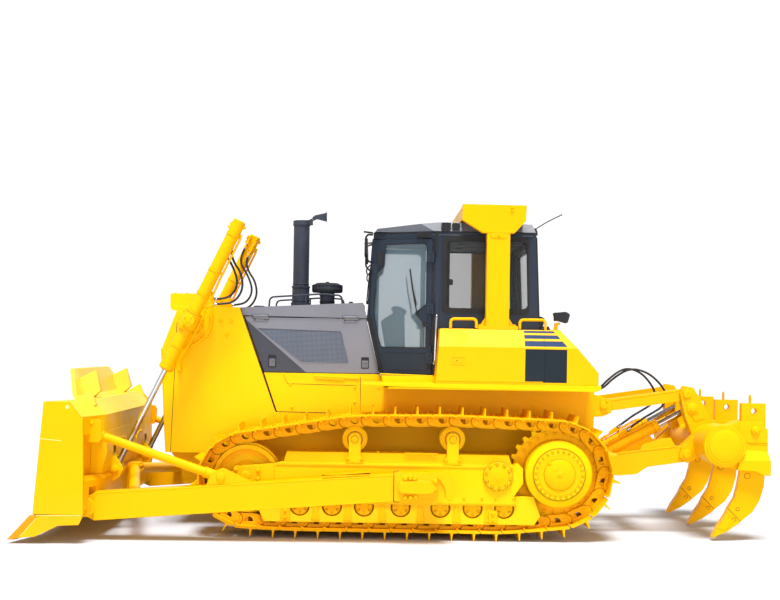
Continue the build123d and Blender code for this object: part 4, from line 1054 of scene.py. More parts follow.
both_sides("blade_highlight_beads", "blade", bead_painted_highlight, "yellow_paint", blade_highlight_beads)


def edge_bolts(k):
    """Plough bolts along the cutting edge, front and back."""
    p0, p1 = Vector((4779, 276)), Vector((5015, 33))
    d = (p1 - p0).normalized()
    nrm = Vector((-d.y, d.x)) if -d.y > 0 else Vector((d.y, -d.x))
    for row in (62, 108):
        c = p0 + d * row
        for i in range(16):
            y = 60 + i * 112.0
            if y > 1780:
                break
            dx = wing_x(y)
            k.lathe((c.x + dx + nrm.x * 0.5, y, c.y + nrm.y * 0.5), (nrm.x, 0, nrm.y), [(0, 19), (3, 17), (4, 8)], 14)
    b0 = Vector((4740, 250))
    b1 = Vector((4960, 33))
    d = (b1 - b0).normalized()
    back = Vector((d.y, -d.x)) if d.y < 0 else Vector((-d.y, d.x))
    if back.x > 0:
        back = -back
    for row in (62, 108):
        c = b0 + d * row
        for i in range(16):
            y = 60 + i * 112.0
            dx = wing_x(y)
            k.bolt((c.x + dx, y, c.y), (back.x, 0, back.y), 17, 20)
    for x, z in ((4955, 205), (4890, 190), (4825, 205), (4755, 225), (4690, 235)):
        k.bolt((x, 1848, z), (0, 1, 0), 16, 1.5, washer=False)


both_sides("cutting_edge_bolts", "blade", edge_steel_dust_and_shade, "steel", edge_bolts, smooth=40)


# --------------------------------------------- lift cylinder fittings
def lift_fit(side_name, s):
    k = Kit("lift_cylinder_fittings_" + side_name, "lift_barrel_" + side_name, yellow, "yellow_paint", 32.0)
    U = Vector((LU[0], 0, LU[1]))
    BK = Vector((LU[1], 0, -LU[0]))           # towards the rear of the barrel

    def P(t, off=0.0, y=865.0):
        return Vector(on_lift(t, off, y, s))
    # head cap, gland ring and their bolts
    k.lathe_rings([(P(523), 76), (P(531), 76), (P(540), 66), (P(541), 31)], U, 36)
    for i in range(10):
        a = 2 * math.pi * i / 10
        side_v = U.cross(BK).normalized()
        k.bolt(P(531) + BK * (58 * math.cos(a)) + side_v * (58 * math.sin(a)), U, 9, 12, washer=False)
    k.lathe_rings([(P(-1120), 40), (P(-1121), 52), (P(-1112), 62), (P(-1096), 66)], U, 36)
    # ring round the yoke and its split bolts
    for t in (-92, 92):
        k.lathe_rings([(P(t - 7), 72), (P(t - 7), 90), (P(t + 7), 90), (P(t + 7), 72)], U, 36, close=False)
    for t in (-62, 62):
        for off in (-84, 84):
            k.bolt(P(t, off), BK if off > 0 else -BK, 13, 14)
    # yoke cap outside, with four bolts
    k.lathe((YOKE[0], s * 962, YOKE[1]), (0, s, 0), [(0, 62), (8, 62), (12, 54), (13, 24), (18, 20), (19, 8)], 40)
    for i in range(4):
        a = math.pi / 4 + i * math.pi / 2
        k.bolt((YOKE[0] + 43 * math.cos(a), s * 972, YOKE[1] + 43 * math.sin(a)), (0, s, 0), 9, 9, washer=False)
    # quick drop valve and pipe blocks behind the barrel's top
    for t, off in ((-1091, -40), (-1091, 34)):
        k.lathe_rings([(P(t - 12, off, 780), 19), (P(t + 12, off, 780), 19)], U, 6)
        k.lathe_rings([(P(t + 112 if off < 0 else t + 180, off, 780), 20), (P(t + 140 if off < 0 else t + 208, off, 780), 20)], U, 6)
    k.side([(3436, 2395), (3420, 2300), (3432, 2244), (3458, 2248), (3450, 2300), (3462, 2390)], s * 795, s * 862)
    # pipe bands down the barrel
    for t in (-960, -560, -300, 280):
        k.lathe_rings([(P(t - 13), 63), (P(t - 13), 70), (P(t + 13), 70), (P(t + 13), 63)], U, 36, close=False)
        k.bolt(P(t, 66), BK, 11, 18)
    # hard pipe from the band block down to the head
    k.tube_path([P(-1000, 74), P(-950, 84), P(-500, 84), P(-150, 100), P(150, 100), P(420, 84), P(470, 70)], 12, 12)
    k.lathe_rings([(P(460, 66), 20), (P(490, 66), 20)], U, 12)
    k.tube_path([P(-1040, -58, 865), P(-1060, -74, 850), P(-1078, -66, 800), P(-1091, -44, 784)], 12, 12)
    k.bolt(P(-1075, 60), BK, 14, 20)
    k.bolt(P(-1020, -60), -BK, 14, 20)
    return k.make()


for side_name, s in (("left", 1), ("right", -1)):
    lift_fit(side_name, s)
    # bright fittings at both ends of each hose
    k = Kit("lift_hose_ends_" + side_name, "lift_barrel_" + side_name, chrome, "steel", 32.0)
    for route in (ROUTE_F, ROUTE_R):
        P = [Vector((x, s * abs(y), z)) for x, y, z in route]
        for a, b in ((P[0], P[1]), (P[-1], P[-2])):
            d = (b - a).normalized()
            k.lathe_rings([(a - d * 8, 17), (a + d * 16, 17)], d, 6)
            k.lathe_rings([(a + d * 16, 14.5), (a + d * 20, 15.5), (a + d * 46, 15.5), (a + d * 50, 13)], d, 20)
    k.make()
    # wiper seal on the rod's gland
    k = Kit("lift_rod_wiper_" + side_name, "lift_barrel_" + side_name, rubber, "dark_metal", 32.0)
    U = Vector((LU[0], 0, LU[1]))
    k.lathe_rings([(Vector(on_lift(540, 0, 865, s)), 50), (Vector(on_lift(545, 0, 865, s)), 46), (Vector(on_lift(546, 0, 865, s)), 29.0)], U, 36)
    k.make()


# ------------------------------------------------------- guard and engine
def guard_yellow(k):
    Y = (0, 1, 0)
    for x, z in ((3376, 2109), (3270, 2110), (3311, 1969)):
        k.bolt((x, 610, z), Y, 15, 12)
    k.tube([(3462, 640, 2227), (3470, 640, 2150), (3480, 640, 2053), (3505, 640, 1975), (3563, 640, 1920), (3650, 640, 1860),
            (3734, 640, 1816), (3783, 640, 1703), (3786, 640, 1560)], 13, 12)
    for x, z in ((3472, 2130), (3520, 1950), (3700, 1833), (3786, 1600)):
        k.box(x - 20, x + 20, 609, 658, z - 12, z + 12)
        k.bolt((x, 657, z), Y, 9, 8)
    # yoke bracket face plate with a ring of bolts
    k.annulus((YOKE[0], 749, YOKE[1]), Y, 64, 112, 6, 48)
    bolts_round(k, YOKE, Y, 92, 8, 11, 10, 0.4, y=754)
    # top box lid and its bolts
    k.plan([(3574, 0), (3574, 590), (3888, 590), (3888, 0)], 2376, 2384)
    for x in (3610, 3730, 3850):
        k.bolt((x, 560, 2383), (0, 0, 1), 11, 9)
        k.bolt((x, 260, 2383), (0, 0, 1), 11, 9)
    # front edge flange
    k.side([(3976, 1815), (3984, 1815), (3944, 1088), (3923, 762), (3915, 762), (3936, 1088)], 575, 612)
    # lower panel: raised strip, edge trims and bolts
    k.side([(2405, 1552), (2108, 1536), (2108, 1522), (2405, 1538)], 583, 598)
    k.side([(2420, 1570), (2420, 1556), (1960, 1534), (1960, 1548)], 583, 596)
    k.side([(1940, 1552), (1940, 1090), (1716, 1090), (1716, 1552)], 584, 590)
    for x, z in ((2002, 1452), (2002, 1300), (1975, 1120), (2660, 1470), (2640, 1240), (1760, 1450), (1760, 1150)):
        k.bolt((x, 584, z), Y, 11, 9)
    # rear edge trim of the side panel below the cab
    k.side([(1748, 1592), (1748, 1604), (1180, 1590), (1180, 1578)], 786, 800)


both_sides("guard_fittings", "chassis", yellow_shade_lifted, "yellow_paint", guard_yellow)


def guard_foot(k):
    """Filler between the guard's foot and the side panel."""
    k.side([(2836, 1186), (2770, 1186), (2700, 1056), (2765, 1056)], 590, 612.5)


both_sides("guard_foot_fillers", "chassis", yellow_shade_lifted, "yellow_paint", guard_foot)


def strip_line(k, pts, y, w=5.0, h=1.6):
    """Thin dark line lying on a face at Y = y."""
    for (x0, z0), (x1, z1) in zip(pts[:-1], pts[1:]):
        d = Vector((x1 - x0, z1 - z0)).normalized()
        n = Vector((-d.y, d.x)) * (w / 2)
        e = d * (w / 2)
        k.side([(x0 - n.x - e.x, z0 - n.y - e.y), (x1 - n.x + e.x, z1 - n.y + e.y), (x1 + n.x + e.x, z1 + n.y + e.y),
                (x0 + n.x - e.x, z0 + n.y - e.y)], y - 1.0, y + h)


def dark_lines(k):
    strip_line(k, [(3824, 2079), (3870, 764)], 610, 5)
    strip_line(k, [(2734, 1571), (2689, 1479), (1985, 1470)], 585, 4)
    strip_line(k, [(1948, 1556), (1936, 1100)], 585, 5)
    strip_line(k, [(2952, 1583), (2800, 1192), (2241, 1186)], 585, 6)
    # stepped seam between the hood's roof and the side door
    strip_line(k, [(3178, 2170), (3061, 2165), (3047, 2138), (2899, 2128), (2886, 2151), (2132, 2156), (2114, 2134), (1972, 2134),
                   (1957, 2157), (1890, 2154)], 567, 5, 0.8)
    # rubber seal down the guard's rear edge
    strip_line(k, [(3180, 2236), (3150, 2150), (2950, 1596), (2806, 1196)], 611, 5, 1.0)


both_sides("body_seams", "chassis", rubber, "dark_metal", dark_lines)


def hood_bits(k):
    for s in (1,):
        pts = [(2900, 480, 2262), (2891, 480, 2364), (2356, 480, 2404), (2154, 480, 2391), (2146, 480, 2302)]
        k.bent(pts, 9.5, 60)
        k.bent([(2520, 480, 2300), (2520, 480, 2392)], 8)
    # a pair of fasteners per hinge
    for x0 in (2905, 1985):
        for dx in (22, 128):
            k.bolt((x0 + dx, 566.5, 2132), (0, 1, 0), 8, 6, washer=False)
    # coolant filler and roof stays
    k.lathe((3040, 0, 2254), (0, 0, 1), [(0, 60), (30, 60), (34, 52), (36, 20)], 32)
    k.lathe((2060, 250, 2308), (0, 0, 1), [(0, 22), (26, 22), (30, 16)], 20)


both_sides("hood_rails", "chassis", dark_metal, "dark_metal", hood_bits)


def hood_grey(k):
    # pressed ribs on the hood's roof
    for y in (150, 330):
        k.side([(3120, 2253.5), (2000, 2314.5), (2000, 2320), (3120, 2259)], y - 14, y + 14)
    k.lathe((2060, 0, 2308), (0, 0, 1), [(0, 40), (20, 40), (24, 34)], 24)


both_sides("hood_ribs", "chassis", grey, "grey_paint", hood_grey)


def door_latches(side_name, s):
    """Paddle latches in dark recesses on each engine door."""
    k = Kit("door_latches_" + side_name, "engine_door_" + side_name, black_plastic, "dark_metal", 32.0)
    b = Kit("door_locks_" + side_name, "engine_door_" + side_name, chrome, "steel", 32.0)
    for x0, x1, z0, z1 in ((2810, 2893, 1643, 1770), (1862, 1942, 1643, 1760)):
        o = rounded([(x0, z0), (x1, z0), (x1, z1), (x0, z1)], 10, 3)
        i = rounded([(x0 + 8, z0 + 8), (x1 - 8, z0 + 8), (x1 - 8, z1 - 8), (x0 + 8, z1 - 8)], 8, 3)
        k.holed(o, i, lambda a, c, f: (a, s * (558.0 if f else 563.5), c))
        k.side([(x0 + 8, z1 - 34), (x1 - 8, z1 - 34), (x1 - 8, z1 - 8), (x0 + 8, z1 - 8)], s * 559.0, s * 561.2)
        xc = (x0 + x1) / 2
        b.side(rounded([(x0 + 12, z0 + 12), (x1 - 12, z0 + 12), (x1 - 12, z1 - 40), (x0 + 12, z1 - 40)], 6, 3), s * 559.0, s * 562.0)
        b.lathe((xc - 8, s * 561.5, (z0 + z1) / 2 + 4), (0, s, 0), [(0, 13), (4, 13), (5, 9)], 20)
    o = rounded(offset([(3003, 2040), (2153, 2020), (2075, 1700), (2551, 1700)], 9), 14, 3)
    i = rounded([(3003, 2040), (2153, 2020), (2075, 1700), (2551, 1700)], 14, 3)
    k.make()
    b.mat = latch_grey
    b.make()
    m = Kit("door_mesh_" + side_name, "engine_door_" + side_name, screen, "dark_metal", 32.0)
    sc = offset([(3003, 2040), (2153, 2020), (2075, 1700), (2551, 1700)], -1.0)
    m.side(sc, s * 556.2, s * 557.6)
    m.make()
    f = Kit("door_mesh_rim_" + side_name, "engine_door_" + side_name, door_grey, "grey_paint", 32.0)
    f.holed(o, i, lambda a, c, q: (a, s * (559.0 if q else 561.6), c))
    f.make()


latch_grey = paint("latch_grey", (0.12, 0.12, 0.135), rough=(0.3, 0.45), coat=0.2, peel=0.2, metallic=0.3, bevel=0.002)
door_latches("left", 1)
door_latches("right", -1)


# exhaust and pre-cleaner
k = Kit("exhaust_fittings", "chassis", dark_metal, "dark_metal", 32.0)
for z in (2262, 2340, 2484):
    k.lathe((2601, 0, z), (0, 0, 1), [(0, 90), (0, 108 if z < 2330 else 98), (20, 108 if z < 2330 else 98), (20, 90)], 44)
k.lathe((2601, 0, 2520), (0, 0, 1), [(0, 85), (4, 90), (10, 90), (14, 85)], 44)
k.lathe((2601, 0, 3150), (0, 0, 1), [(0, 90), (2, 95), (8, 95), (10, 90)], 44)
k.bolt((2601, 108, 2272), (0, 1, 0), 9, 14)
k.bolt((2601, 97, 2494), (0, 1, 0), 9, 14)
for i in range(6):
    a = 2 * math.pi * i / 6
    k.bolt((2601 + 118 * math.cos(a), 118 * math.sin(a), 2255), (0, 0, 1), 10, 9)
k.lathe((2601, 0, 2246), (0, 0, 1), [(0, 134), (8, 134), (10, 128)], 44)
k.make()
k = Kit("pre_cleaner_fins", "chassis", black_plastic, "dark_metal", 32.0)
for i in range(24):
    a = 2 * math.pi * i / 24
    c, sn = math.cos(a), math.sin(a)
    p = [(2318 + 152 * c - 3 * sn, 152 * sn + 3 * c), (2318 + 152 * c + 3 * sn, 152 * sn - 3 * c),
         (2318 + 164 * c + 3 * sn, 164 * sn - 3 * c), (2318 + 164 * c - 3 * sn, 164 * sn + 3 * c)]
    k.plan(p, 2474, 2510)
k.lathe((2318, 0, 2508), (0, 0, 1), [(0, 165), (6, 166), (12, 160), (26, 124), (32, 116)], 48)
k.lathe((2318, 0, 2539), (0, 0, 1), [(0, 20), (12, 20), (16, 14)], 20)
k.lathe((2318, 0, 2440), (0, 0, 1), [(0, 84), (0, 156), (10, 162), (28, 165), (34, 165)], 48)
for z in (2330, 2400):
    k.lathe((2318, 0, z), (0, 0, 1), [(0, 76), (0, 83), (16, 83), (16, 76)], 36)
k.make()
k = Kit("rain_cap_fittings", "rain_cap", dark_metal, "dark_metal", 32.0)
k.side([(2520, 3210), (2520, 3216), (2410, 3263), (2404, 3252)], -15, 15)
k.lathe((2601, 0, 3195), (0, 0, 1), [(0, 89), (4, 89), (8, 80), (12, 40)], 40)
k.cyl((2497, -24.5, 3203), (2497, 24.5, 3203), 12, 20)
k.make()


# ------------------------------------------------------------ cab details
def cab_y(x):
    return 800.0 if x <= 1213 else 800.0 - 0.3519 * (x - 1213)


def cab_ring(k, pts, inner, d0, d1, r=40, face=cab_y):
    """Gasket between two outlines on the cab's side, from d0 to d1 outside
    the panel."""
    o, i = rounded(pts, r, 6), rounded(inner, r, 6)
    k.holed(o, i, lambda a, b, f: (a, face(a) + (d1 if f else d0), b))


DOOR_WIN = [(1700, 2912), (1325, 2922), (1290, 2888), (1290, 2305), (1402, 2218), (1290, 2085), (1290, 1866), (1742, 1866),
            (1768, 1950), (1822, 2218), (1800, 2620), (1722, 2688), (1712, 2895)]
REAR_WIN = [(1105, 2955), (285, 2955), (262, 2258), (1105, 2258)]


def gaskets_door(side_name, s):
    k = Kit("door_gasket_" + side_name, "cab_door_" + side_name, rubber, "dark_metal", 32.0)
    cab_ring(k, offset(DOOR_WIN, 4), offset(DOOR_WIN, -5), -30, 1.5, 16)
    # wiper on the door's glass
    def G(x, z, d):
        return (x, cab_y(x) + d, z)
    k.cyl(G(1386, 2217, -16), G(1386, 2217, 14), 17, 20)
    k.tube_path([Vector(G(1386, 2217, 9)), Vector(G(1412, 2340, 10)), Vector(G(1443, 2510, 4))], 6, 8)
    k.tube_path([Vector(G(1392, 2300, -12)), Vector(G(1430, 2452, -12)), Vector(G(1462, 2660, -12))], 7, 8)
    k.tube_path([Vector(G(1392, 2300, -18)), Vector(G(1430, 2452, -18)), Vector(G(1462, 2660, -18))], 4, 8)
    # handle housing at the door's front edge and the outside handle
    k.side(rounded([(1797, 2850), (1742, 2850), (1738, 2690), (1793, 2690)], 24, 4), cab_y(1770) - 6, cab_y(1770) + 26)
    k.side(rounded([(1262, 2076), (1330, 2076), (1330, 2120), (1262, 2120)], 14, 3), cab_y(1300) - 4, cab_y(1300) + 22)
    k.side(rounded([(1250, 1900), (1270, 1900), (1270, 2060), (1250, 2060)], 8, 3), cab_y(1260) - 4, cab_y(1260) + 12)
    if s < 0:
        k.V = [(x, -y, z) for x, y, z in k.V]
    k.make()
    m = Kit("door_trim_" + side_name, "cab_door_" + side_name, cab_blue, "cab_paint", 32.0)
    # pressed band along the door's foot and its lower panel
    m.holed(rounded([(1738, 1830), (1262, 1830), (1262, 1640), (1700, 1640)], 20, 4), rounded([(1718, 1812), (1280, 1812), (1280, 1658), (1684, 1658)], 16, 4),
            lambda a, b, f: (a, cab_y(a) + (3.0 if f else -2.0), b))
    for z in (1760, 2260, 2780):
        m.bolt((1262, 806, z + 26), (0, 1, 0), 9, 7, washer=False)
        m.bolt((1262, 806, z - 26), (0, 1, 0), 9, 7, washer=False)
    if s < 0:
        m.V = [(x, -y, z) for x, y, z in m.V]
    m.make()


for side_name, s in (("left", 1), ("right", -1)):
    gaskets_door(side_name, s)


def cab_rubber(k):
    # rear side window: wide black surround with rounded corners
    cab_ring(k, [(1140, 3000), (272, 2996), (262, 2218), (1140, 2218)], offset(REAR_WIN, -12), -6, 9, 60)
    cab_ring(k, offset(REAR_WIN, 2), offset(REAR_WIN, -12), -34, -5, 40)
    # sliding pane's frame and its catch
    k.side([(1093, 2950), (1064, 2950), (1064, 2266), (1093, 2266)], 768, 782)
    k.side(rounded([(1072, 2560), (1030, 2560), (1030, 2500), (1072, 2500)], 12, 3), 776, 792)
    # band round the door opening
    for a, b in (((1228, 2948), (1228, 1612)),):
        strip_line(k, [a, b], 800, 12, 2)
    # band down the cab's sloping front foot
    k.loop_prism([(1894, 566, 2190), (1752, 616, 1592), (1716, 628, 1592), (1858, 578, 2190)],
                 [(1894, 574, 2190), (1752, 624, 1592), (1716, 636, 1592), (1858, 586, 2190)])
    # gutter bead under the roof's sloping edge
    k.bent([(1836, 580, 3026), (1213, 800, 3034), (206, 800, 3032)], 7, 20)
    # lamp housings on the roof's edge and the hinge plate of the door
    k.side(rounded([(1154, 3050), (1060, 3054), (1060, 3126), (1154, 3124)], 10, 3), 752, 812)
    k.side(rounded([(1046, 3060), (968, 3060), (968, 3122), (1046, 3122)], 8, 3), 752, 806)
    k.side(rounded([(1212, 2800), (1186, 2800), (1186, 3040), (1212, 3040)], 6, 3), 798, 820)
    # light housing under the roof's edge, above the door's rear
    k.side(rounded([(1397, 3030), (1397, 2976), (1255, 2972), (1255, 3030)], 14, 3), 742, 792)
    for x in (1375, 1345, 1315, 1285):
        k.box(x - 6, x + 6, 790, 798, 2985, 3020)
    # mirror and its bent arms
    k.bent([(1846, 600, 3010), (1890, 680, 3005), (1914, 700, 2975), (1916, 700, 2776), (1880, 690, 2730), (1838, 610, 2728)], 10, 40)
    k.bent([(1846, 606, 3030), (1930, 700, 3030)], 9, 20)
    k.side(rounded([(1924, 2960), (1892, 2960), (1888, 2800), (1920, 2800)], 14, 4), 700, 790)
    k.tube([(1866, 596, 2700), (1900, 640, 2650), (1892, 640, 2600)], 7, 8)
    # rear edge trims
    k.side([(205, 2990), (190, 2990), (152, 2120), (166, 2120)], 700, 802)


both_sides("cab_seals", "chassis", rubber, "dark_metal", cab_rubber)


def cab_trim(k):
    # roof edge gutter and pillar bead
    k.side([(1826, 3034), (1800, 3046), (236, 3042), (236, 3030), (1780, 3036)], 560, 640)
    k.bent([(1826, 575, 2996), (1213, 795, 2996), (240, 806, 2996)], 11, 30)
    k.side([(1204, 2990), (1160, 2990), (1160, 1560), (1204, 1560)], 798, 806)
    # vent on the lower panel behind the door
    for i in range(6):
        z = 1790 + i * 38
        k.side([(1120, z), (860, z), (860, z + 14), (1120, z + 14)], 799, 806)
    # roof panels
    k.plan(rounded([(1130, 0), (1130, 430), (420, 430), (420, 0)], 50, 5), 3120, 3142)
    for x, y, z in ((1700, 380, 3082), (1150, 640, 3135), (270, 640, 3123), (1150, 500, 3135)):
        k.bolt((x, y, z), (0, 0, 1), 10, 8)
    # air conditioner box on the cab's rear
    k.side(rounded([(176, 2100), (120, 2080), (110, 1700), (164, 1680)], 20, 3), 0, 420)


both_sides("cab_trim", "chassis", cab_blue, "cab_paint", cab_trim)


def cab_steel(k):
    # grab rail beside the door
    k.bent([(1186, 796, 2200), (1190, 832, 2186), (1197, 838, 2010), (1204, 832, 1730), (1204, 796, 1716)], 11, 26)
    k.lathe((1186, 798, 2200), (0, 1, 0), [(0, 18), (5, 18), (6, 14)], 16)
    k.lathe((1204, 798, 1716), (0, 1, 0), [(0, 18), (5, 18), (6, 14)], 16)


both_sides("cab_grab_rails", "chassis", chrome, "steel", cab_steel)

# mirror glass
k = Kit("mirror_glass", "chassis", chrome, "steel", 32.0)
for s in (1, -1):
    k.box(1886, 1889, s * 708, s * 782, 2812, 2948)
k.make()

# front and rear window gaskets
k = Kit("cab_end_seals", "chassis", rubber, "dark_metal", 32.0)


def front_x(z):
    return 1888 + (z - 2190) * (1835 - 1888) / (3036 - 2190)


def back_x(z):
    return 160 + (z - 2110) * (203 - 160) / (3036 - 2110)


for rect, fx, sg in (([(-470, 2960), (470, 2960), (470, 2360), (-470, 2360)], front_x, 1), ([(-650, 2900), (650, 2900), (650, 2200), (-650, 2200)], back_x, -1)):
    o, i = rounded(offset(rect, 22), 50, 5), rounded(offset(rect, -14), 40, 5)
    k.holed(o, i, lambda a, b, f, fx=fx, sg=sg: (fx(b) + sg * (7 if f else -30), a, b))
# front wiper
k.cyl((front_x(2340) - 4, 0, 2340), (front_x(2340) + 24, 0, 2340), 18, 20)
k.tube_path([Vector((front_x(2340) + 18, 0, 2340)), Vector((front_x(2560) + 14, 160, 2560)), Vector((front_x(2700) + 6, 240, 2700))], 6, 8)
k.tube_path([Vector((front_x(2480) + 2, 60, 2480)), Vector((front_x(2880) + 2, 360, 2880))], 7, 8)
k.make()

def sill_cover(k):
    """Kick strip between the fender and the door's foot."""
    k.side([(1722, 1519), (1737, 1583), (1196, 1583), (1196, 1519)], 801, 828)
    k.side([(1722, 1519), (1700, 1519), (1700, 1505), (1196, 1505), (1196, 1519)], 801, 834)


both_sides("cab_sill_covers", "chassis", yellow_shade_lifted, "yellow_paint", sill_cover)

# antenna
k = Kit("antenna", "chassis", rubber, "dark_metal", 32.0)
k.lathe((186, 600, 3030), (0, 0, 1), [(0, 26), (40, 22), (60, 14), (72, 10)], 20)
k.tube([(186, 600, 3090), (160, 600, 3110), (60, 600, 3172), (-77, 600, 3242)], 5.5, 8)
k.lathe((-77, 600, 3242), (-0.88, 0, 0.46), [(-4, 5), (0, 7), (6, 7), (9, 3)], 12)
k.make()


# -------------------------------------------------- inside of the cab
def cushion(name, box_lo, box_hi, seams, mat=None):
    """Crowned cushion between two corners with sewn channels; the form is a
    subdivided cage whose sides pull in between the corners."""
    (x0, y0, z0), (x1, y1, z1) = box_lo, box_hi
    nx, ny = 22, 22
    me = bpy.data.meshes.new(name)
    V, F = [], []
    cx, cy = (x0 + x1) / 2, (y0 + y1) / 2
    hx, hy, hz = (x1 - x0) / 2, (y1 - y0) / 2, (z1 - z0)
    for layer in (0, 1, 2, 3):
        for i in range(nx + 1):
            for j in range(ny + 1):
                u, v = 2 * i / nx - 1, 2 * j / ny - 1
                pull = 0.035
                x = u * (1 - pull * (1 - v * v) * u * u)
                y = v * (1 - pull * (1 - u * u) * v * v)
                edge = max(abs(u), abs(v))
                if layer == 0:
                    z, g = 0.0, 0.94
                elif layer == 1:
                    z, g = 0.22, 1.0
                elif layer == 2:
                    z, g = 0.60, 1.0
                else:
                    crown = (1 - u ** 4) * (1 - v ** 4)
                    groove = 0.0
                    for axis, pos in seams:
                        w = (u if axis == "x" else v) - pos
                        groove = max(groove, math.exp(-(w / 0.035) ** 2))
                    z, g = 0.78 + 0.22 * crown - 0.10 * groove, 0.965
                if 0 < layer < 3 and edge < 0.999:
                    V.append(None)
                    continue
                V.append((cx + hx * x * g, cy + hy * y * g, z0 + hz * z))
    def idx(layer, i, j):
        return layer * (nx + 1) * (ny + 1) + i * (ny + 1) + j
    for i in range(nx):
        for j in range(ny):
            F.append((idx(0, i, j), idx(0, i, j + 1), idx(0, i + 1, j + 1), idx(0, i + 1, j)))
            F.append((idx(3, i, j), idx(3, i + 1, j), idx(3, i + 1, j + 1), idx(3, i, j + 1)))
    rim = [(i, 0) for i in range(nx)] + [(nx, j) for j in range(ny)] + [(i, ny) for i in range(nx, 0, -1)] + [(0, j) for j in range(ny, 0, -1)]
    for layer in range(3):
        for a, b in zip(rim, rim[1:] + rim[:1]):
            F.append((idx(layer, *a), idx(layer, *b), idx(layer + 1, *b), idx(layer + 1, *a)))
    keep = [i for i, v in enumerate(V) if v is not None]
    new = {o: n for n, o in enumerate(keep)}
    return [V[i] for i in keep], [tuple(new[i] for i in f) for f in F]


def make_cushion(name, lo, hi, seams, place=None):
    vs, fs = cushion(name, lo, hi, seams)
    if place is not None:
        vs = [place(*v) for v in vs]
    k = Kit(name, "chassis", cloth, "seat_cloth", smooth=60.0)
    k.add(vs, fs)
    ob = k.make()
    sub = ob.modifiers.new("soft", "SUBSURF")
    sub.levels = sub.render_levels = 1
    return ob


seat_pan = make_cushion("seat_cushion", (566, -232, 1884), (1054, 232, 2006), [("x", -0.45), ("x", 0.05), ("x", 0.55)])
# back cushion: built flat, then stood up along the seat back's slope
ba, bb = Vector((622, 2012)), Vector((500, 2606))
bu = (bb - ba).normalized()
bn = Vector((bu.y, -bu.x))


def stand(x, y, z):
    p = ba + bu * x + bn * (z - 62)
    return (p.x, y, p.y)


seat_back = make_cushion("seat_back", (4, -222, 0), ((bb - ba).length - 4, 222, 118), [("x", -0.5), ("x", 0.0), ("x", 0.5)], stand)
k = Kit("seat_shell", "chassis", black_plastic, "console_plastic", 32.0)
k.side([(470, 2570), (446, 2560), (552, 1990), (590, 1990)], -205, 205)
for s in (1, -1):
    k.side(rounded([(1010, 2120), (640, 2110), (640, 2070), (1010, 2080)], 16, 3), s * 250, s * 318)
    k.side([(640, 2110), (600, 2110), (640, 1900), (680, 1900)], s * 242, s * 256)
k.side(rounded([(1040, 1882), (580, 1882), (580, 1862), (1040, 1862)], 8, 3), -236, 236)
ob = k.make()
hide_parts("operator_seat")
k = Kit("cab_controls", "chassis", black_plastic, "console_plastic", 32.0)
for s in (1, -1):
    # console tops, armrests and levers
    k.side(rounded([(1196, 1986), (1150, 2086), (1000, 2078), (1000, 2056)], 10, 3), s * 336, s * 514)
    k.tube([(1120, s * 425, 2070), (1125, s * 425, 2180), (1150, s * 425, 2250)], 10, 10)
    k.lathe((1150, s * 425, 2245), (0.2, 0, 1), [(0, 14), (10, 24), (50, 28), (80, 24), (92, 10)], 20)
    k.lathe((1120, s * 425, 2064), (0, 0, 1), [(0, 52), (20, 44), (40, 24), (60, 12)], 24)
    k.bolt((1050, s * 380, 2078), (0, 0, 1), 16, 14)
    k.bolt((1050, s * 460, 2078), (0, 0, 1), 16, 14)
# instrument hood and pedals
k.side(rounded([(1606, 2236), (1500, 2196), (1470, 2250), (1560, 2300), (1640, 2290)], 20, 4), -260, 260)
for y in (-200, -60, 80, 210):
    k.side(rounded([(1452, 1640), (1420, 1780), (1434, 1784), (1468, 1646)], 4, 2), y - 40, y + 40)
    k.tube_path([Vector((1480, y, 1640)), Vector((1445, y, 1700))], 9, 8)
# headliner with its air vents
k.plan(rounded([(1700, 0), (1700, 420), (1180, 690), (280, 690), (280, -690), (1180, -690), (1700, -420)], 30, 3), 2955, 2972)
for x in (1500, 900):
    for y in (-300, 300):
        k.lathe((x, y, 2956), (0, 0, -1), [(0, 46), (8, 46), (12, 34)], 24)
k.make()
k = Kit("instrument_panel", "chassis", clear_lens, "glass", 32.0)
k.side([(1495, 2196), (1472, 2240), (1474, 2242), (1497, 2198)], -170, 170)
k.make()
k = Kit("cab_floor_mat", "chassis", rubber, "dark_metal", 32.0)
k.plan([(1460, -560), (1460, 560), (240, 700), (240, -700)], 1590.5, 1598)
for i in range(18):
    k.box(300 + i * 62, 318 + i * 62, -540, 540, 1597, 1601)
k.make()


# ------------------------------------------------------------ roll bar
def rops_yellow(k):
    Y = (0, 1, 0)
    # end plate carried out over the post's head
    k.side([(955, 3295), (324, 3288.5), (329, 3134), (441, 3013), (754, 3013), (960, 3141)], 934, 993)
    for x, z in ((469, 3266), (468, 3232)):
        k.bolt((x, 992, z), Y, 13, 12)
    for x, z in ((840, 3200), (380, 3200)):
        k.bolt((x, 992, z), Y, 9, 3, washer=False)
    # foot bolts, gussets and weld beads
    for x in (432, 758):
        for y in (870, 1010):
            k.bolt((x, y, 2090), (0, 0, 1), 17, 14)
    for x0, x1 in ((710, 770), (483, 423)):
        k.side([(x0, 2089), (x1, 2089), (x0, 2180)], 912, 928)
    k.tube_path([Vector((484, 991, 2094)), Vector((709, 991, 2094))], 6, 8)
    k.side([(676, 3010), (520, 3010), (520, 2976), (540, 2964), (656, 2964), (676, 2976)], 989, 996)
    k.bolt((598, 995, 2990), Y, 13, 10)
    # lifting eye on the beam's end
    k.side(rounded([(700, 3292), (560, 3292), (600, 3294), (660, 3294)], 4, 2), 600, 612)


both_sides("roll_bar_fittings", "chassis", yellow, "yellow_paint", rops_yellow)


